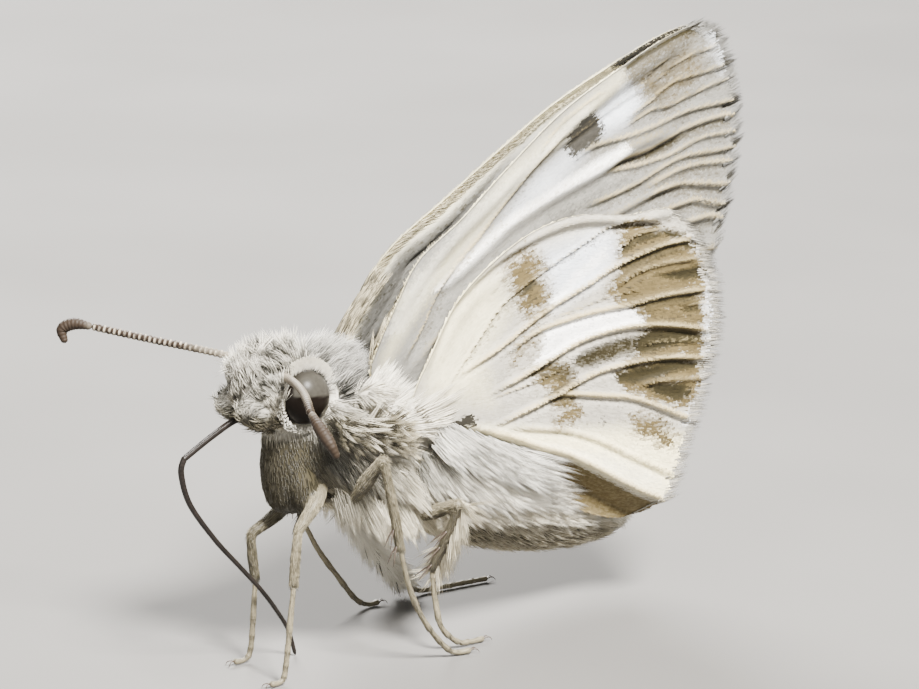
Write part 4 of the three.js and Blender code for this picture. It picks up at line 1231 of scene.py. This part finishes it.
eyeFinish = eyeMaterial()
wide, deep, high = eye["radii"]
for name, side in sides.items():
    centre = mirrored(eye["centre"], side)
    t = (1 - np.cos(np.linspace(0.05, math.pi - 0.05, 56))) / 2
    path = centre + np.outer(t - 0.5, [0, 2 * deep, 0])
    bulge = np.sqrt(np.maximum(1 - (2 * t - 1) ** 2, 0))
    ball, faces, _ = sweep(path, wide * bulge, high * bulge, around=72)
    mesh = meshFrom("eye", ball, faces)
    unit = (ball - centre) / np.array(eye["radii"])
    rearward = unit @ np.array([0.57 * side, 0.82, 0.0])
    # the painted sky reflection covers the upper eye towards its back, thinning out at the rim
    dusty = rise(unit[:, 2] + 0.12 * rearward**2, 0.2, 0.28) * rise(rearward, -0.42, -0.3)
    setValues(mesh, dusty=dusty * (1 - 0.6 * rise(np.linalg.norm(unit[:, 1:], axis=1), 0.86, 1.0)))
    mesh.materials.append(eyeFinish)
    settle(f"eyeball_{name}", mesh, "eye", f"eye_{name}")

    turn = np.linspace(0, fullTurn, 60)
    rows = [np.stack([np.full(60, centre[0] + side * outward), centre[1] + deep * widen * np.cos(turn),
                      centre[2] + high * widen * np.sin(turn)], 1) for widen, outward in eyeRing["rows"]]
    upper = rise(np.sin(turn + 0.85), -0.7, 0.5)
    ring = band("ring", rows, np.linspace(0, 1, 60), turned=side < 0,
                lie=normalised(rows[1] - centre) + (0.55 * side, 0, 0), size=0.5 + 0.5 * upper,
                amount=0.3 + 0.7 * upper, tone=0.6 + 0.7 * upper, warm=0.35, contrast=1.0)
    settle(f"eyeRing_{name}", grow("ring", ring, "scale", hairFinish, 41, eyeRing["coat"]), "coat")
print("eyes made")


# feelers, proboscis and feet

def ends(t, length, radius):  # rounds off both ends of a form
    edge = np.minimum(1 - t, t) * length / radius
    return np.sqrt(np.maximum(1 - (1 - np.clip(edge, 0, 1)) ** 2, 0.02))


def limbMesh(name, path, radius, around=16, count=120):
    line = spline(path, count)
    length = np.linalg.norm(np.diff(line, axis=0), axis=1).sum()
    shape = radius(np.linspace(0, 1, count), length)
    points, faces, about = sweep(line, shape, shape, around=around)
    mesh = meshFrom(name, points, faces)
    setValues(mesh, along=about["share"] * length, share=about["share"], angle=about["angle"])
    return mesh


def pointValues(mesh, name):
    return readValues(mesh.attributes[name].data, "value")


feelers = {
    "left": {"shaft": [(0.8, -5.1, 9.7), (2.4, -5.65, 9.85), (4.0, -6.35, 9.95), (5.4, -7.05, 9.86)],
             "club": [(5.4, -7.05, 9.86), (6.05, -7.12, 9.5), (6.5, -7.05, 9.1), (6.64, -6.9, 8.7)],
             "paleTo": (0.7, 0.95)},
    "right": {"shaft": [(0.75, -5.3, 9.8), (1.6, -6.1, 10.05), (3.2, -7.5, 10.35), (4.7, -8.8, 10.65)],
              "club": [(4.7, -8.8, 10.65), (5.15, -9.2, 10.7), (5.38, -9.5, 10.5), (5.2, -9.5, 10.1)],
              "paleTo": (0.25, 0.45)},
}
feelerValues = {"radius": 0.12, "ring": 0.17, "clubRing": 0.12, "club": 0.2, "tip": 0.11}


def feelerMaterial():
    material, tree, shader = newMaterial("feeler", 0.6, 0.2)
    ring = calc(tree, "FRACT", calc(tree, "DIVIDE", attribute(tree, "along"), feelerValues["ring"]))
    patchy = remap(tree, noise(tree, 5000.0), 0.35, 0.6)
    white = calc(tree, "MULTIPLY", remap(tree, ring, 0.52, 0.72), patchy)
    white = calc(tree, "MAXIMUM", calc(tree, "MULTIPLY", white, attribute(tree, "banded")),
                 attribute(tree, "pale"))
    base = mixed(tree, white, colour(0.020, 0.013, 0.008), colour(0.34, 0.30, 0.235))
    withGrain(tree, shader, base, 16000.0, 0.5)
    return material


def shaftRadius(t, length):
    r = feelerValues["radius"]
    ring = 1 + 0.1 * np.cos(fullTurn * t * length / feelerValues["ring"])
    return r * ring * (1 + 0.35 * rise(-t, -0.06, 0.0)) * ends(t, length, r)


def clubRadius(t, length):
    r, club = feelerValues["radius"], feelerValues["club"]
    body = r + (club - r) * rise(t, 0.0, 0.45) - (club - feelerValues["tip"]) * rise(t, 0.6, 1.0)
    return body * (1 + 0.03 * np.cos(fullTurn * t * length / feelerValues["clubRing"])) * ends(t, length, 0.1)


feelerFinish = feelerMaterial()
for name, side in sides.items():
    for part, radius, count in (("shaft", shaftRadius, 200), ("club", clubRadius, 90)):
        mesh = limbMesh(part, mirrored(feelers[name][part], side), radius, count=count)
        share = pointValues(mesh, "share")
        if part == "shaft":
            pale = 0.3 * (1 - rise(share, *feelers[name]["paleTo"])) + 0.45 * (1 - rise(share, 0.0, 0.25))
        else:
            pale = 0.2 * (1 - rise(share, 0.0, 0.2))
        setValues(mesh, banded=part == "shaft", pale=pale)
        mesh.materials.append(feelerFinish)
        slot = "feeler" if part == "shaft" else "club"
        settle(f"feeler_{name}_{part}", mesh, slot, f"antenna_{name}_{part}")

tongue = {
    "root": [(0, -5.9, 8.2), (0, -6.4, 8.25), (0, -7.3, 7.85), (0, -8.3, 7.3)],
    "tip": [(0, -8.16, 7.42), (0, -8.31, 7.26), (0, -8.4, 6.8), (0, -8.1, 5.77), (0, -7.2, 4.45),
            (0, -6.36, 3.46), (0, -5.5, 2.45), (0, -4.9, 1.6), (0, -4.5, 0.9), (0, -4.25, 0.02)],
    "radii": {"root": (0.11, 0.1), "tip": (0.1, 0.065)}, "groove": 0.3, "length": 5.0,
}


def tongueMaterial():
    material, tree, shader = newMaterial("tongueHorn", 0.32, 0.2)
    ring = calc(tree, "SINE", calc(tree, "MULTIPLY", attribute(tree, "along"), 90.0))
    base = mixed(tree, noise(tree, 4000.0), colour(0.004, 0.0035, 0.003), colour(0.018, 0.014, 0.012))
    coloured(tree, shader, base, ring, 0.3, 0.00001)
    return material


tongueFinish = tongueMaterial()
for part in ("root", "tip"):  # two long halves joined along a groove
    line = spline(tongue[part], 110)
    radius = girth(tongue["radii"][part], 110) * ends(np.linspace(0, 1, 110), tongue["length"], 0.12)
    points, faces, about = sweep(line, radius, radius)
    centre = np.vstack([np.repeat(line, 24, axis=0), line[0], line[-1]])
    seam = 1 - tongue["groove"] * bell(about["angle"] % 0.5 - 0.25, 0.035)
    mesh = meshFrom("tongue", centre + (points - centre) * seam[:, None], faces)
    setValues(mesh, along=about["share"] * tongue["length"])
    mesh.materials.append(tongueFinish)
    settle(f"tongue_{part}", mesh, "tongue", f"proboscis_{part}")

footValues = {
    "segments": (0.0, 0.42, 0.6, 0.73, 0.83, 1.0), "flare": 0.3,
    "coat": {"density": 300.0, "length": 0.2, "width": 0.022, "thickness": 0.014, "spread": 0.03,
             "variation": 0.3},
}
# each claw's path from the foot's end: forward, sideways, up
clawValues = {"girth": 0.035, "path": ((-0.05, 0, 0), (0.1, 0.06, 0.05), (0.2, 0.1, 0), (0.24, 0.11, -0.09))}
spurValues = {"girth": 0.042, "length": 0.62, "lean": 0.75, "apart": 0.35}
spurSpots = {"mid": (0.8, 1.0), "hind": (0.45, 0.72, 1.0)}  # how far down the tibia each pair stands
clawFinish = plainMaterial("clawHorn", colour(0.05, 0.035, 0.025), 0.4, 6000.0, 0.4)


def footRadius(t, length):
    marks = np.array(footValues["segments"])
    i = np.clip(np.searchsorted(marks, t, side="right") - 1, 0, len(marks) - 2)
    share = (t - marks[i]) / (marks[i + 1] - marks[i])
    segment = 0.85 + footValues["flare"] * share**2 - 0.12 * (share > 0.93)
    return legGirth["tarsus"] * segment * ends(t, length, 0.1)


def thorn(path, count, size, tip, across):
    radius = size * np.linspace(1, tip, count)
    return sweep(spline(path, count), radius, radius, across=across, around=6)[:2]


def settleThorns(name, thorns):
    mesh = meshFrom(name, *joined(thorns))
    mesh.materials.append(clawFinish)
    settle(name, mesh, "leg")


for leg, joints in legs.items():
    side = sides[leg.split("_")[1]]
    path = mirrored(joints["tarsus"], side)
    mesh = limbMesh("foot", path, footRadius, around=12, count=110)
    share = pointValues(mesh, "share")
    line = spline(path, 200)
    along = normalised(np.gradient(line, axis=0))
    low = rise(-readValues(mesh.vertices, "co", 3)[:, 2], -0.3, -0.1)
    place = np.stack([0.05 + 0.9 * pointValues(mesh, "angle"), 0.03 + 0.94 * share, 0 * share], 1)
    setValues(mesh, lie=along[np.clip((share * 199).astype(int), 0, 199)], lift=0.04, size=1.0, amount=1 - low,
              tone=0.2 - 0.06 * share, warm=1.0, contrast=0.5, tip=0.5, chance=0.5, place=place)
    hair = grow(leg, mesh, "single", hairFinish, 51, footValues["coat"])
    mesh.materials.append(hairFinish)
    settle(f"foot_{leg}", mesh, "leg", f"{leg}_tarsus")
    settle(f"coat_{leg}_foot", hair, "leg")
    claws = []
    for way in (-1, 1):
        w = np.cross(along[-1], (0, 0, 1)) * way
        path = [line[-1] + ahead * along[-1] + out * w + (0, 0, up) for ahead, out, up in clawValues["path"]]
        claws.append(thorn(path, 12, clawValues["girth"], 0.15, w))
    settleThorns(f"claws_{leg}", claws)

for leg, joints in legs.items():
    kind, name = leg.split("_")
    spurs = []
    for share in spurSpots.get(kind, ()):
        line = spline(mirrored(joints["tibia"], sides[name]), 60)
        along = line[-1] - line[-6]
        along /= np.linalg.norm(along)
        forward = np.cross(along, (sides[name], 0, 0))
        forward *= -np.sign(forward[1]) / np.linalg.norm(forward)
        start = line[int(share * 54)] + 0.1 * forward
        for way in (-1, 1):
            aim = along + spurValues["lean"] * forward + (way * spurValues["apart"], 0, 0)
            aim /= np.linalg.norm(aim)
            path = [start, start + 0.55 * spurValues["length"] * aim,
                    start + spurValues["length"] * (aim + 0.15 * along)]
            spurs.append(thorn(path, 9, spurValues["girth"], 0.2, (1, 0.1, 0)))
    if spurs:
        settleThorns(f"spurs_{leg}", spurs)
print("limbs made")


# floor, light and camera

stageValues = {
    "floor": colour(0.118, 0.115, 0.110), "floorSize": 1.2, "sky": colour(1.0, 0.985, 0.95), "skyStrength": 0.3,
    "middle": (0.0, 1.5, 8.0),
}
reach = stageValues["floorSize"]
floorMesh = bpy.data.meshes.new("floor")
floorMesh.from_pydata([(a * reach, b * reach, 0) for a, b in ((-1, -1), (1, -1), (1, 1), (-1, 1))], [],
                      [(0, 1, 2, 3)])
floorMesh.materials.append(plainMaterial("floorFinish", stageValues["floor"], 0.9, 900.0, 0.05))
floor = inScene("floor", floorMesh)

world = bpy.data.worlds.new("studio")
bpy.context.scene.world = world
world.use_nodes = True
sky = world.node_tree.nodes["Background"].inputs
sky["Color"].default_value = stageValues["sky"]
sky["Strength"].default_value = stageValues["skyStrength"]

# power in watts, width of the panel, place in mm from the model's middle
lamps = {
    "key": {"power": 4.9, "width": 0.07, "place": (138, 0, 188), "tint": (1.0, 0.965, 0.91)},
    "fill": {"power": 0.3, "width": 0.20, "place": (40, -200, 60), "tint": (1.0, 0.985, 0.96)},
    "rim": {"power": 1.8, "width": 0.10, "place": (-150, 60, 120), "tint": (1.0, 0.98, 0.95)},
}
centre = rowShift + Vector(stageValues["middle"]) * mm
for name, lamp in lamps.items():
    light = bpy.data.lights.new(name, "AREA")
    light.shape = "DISK"
    light.energy, light.size, light.color = lamp["power"], lamp["width"], lamp["tint"]
    holder = inScene(name, light)
    holder.location = centre + Vector(lamp["place"]) * mm
    holder.rotation_euler = (-Vector(lamp["place"])).to_track_quat("-Z", "Y").to_euler()

cameraValues = {"azimuth": 55.0, "elevation": 15.0, "distance": 130.0, "lens": 157.87, "sensor": 36.0,
                "clip": (0.001, 10.0), "target": (0.860, 1.606, 9.675)}
turn, tilt = math.radians(cameraValues["azimuth"]), math.radians(cameraValues["elevation"])
towards = Vector((math.sin(turn) * math.cos(tilt), -math.cos(turn) * math.cos(tilt), math.sin(tilt)))
camera = inScene("camera", bpy.data.cameras.new("camera"))
camera.data.lens = cameraValues["lens"]
camera.data.sensor_width = cameraValues["sensor"]
camera.data.clip_start, camera.data.clip_end = cameraValues["clip"]
camera.location = rowShift + (Vector(cameraValues["target"]) + towards * cameraValues["distance"]) * mm
camera.rotation_euler = towards.to_track_quat("Z", "Y").to_euler()
bpy.context.scene.camera = camera
print("stage set")

for shape in tuftShapes.values():
    bpy.data.objects.remove(shape)
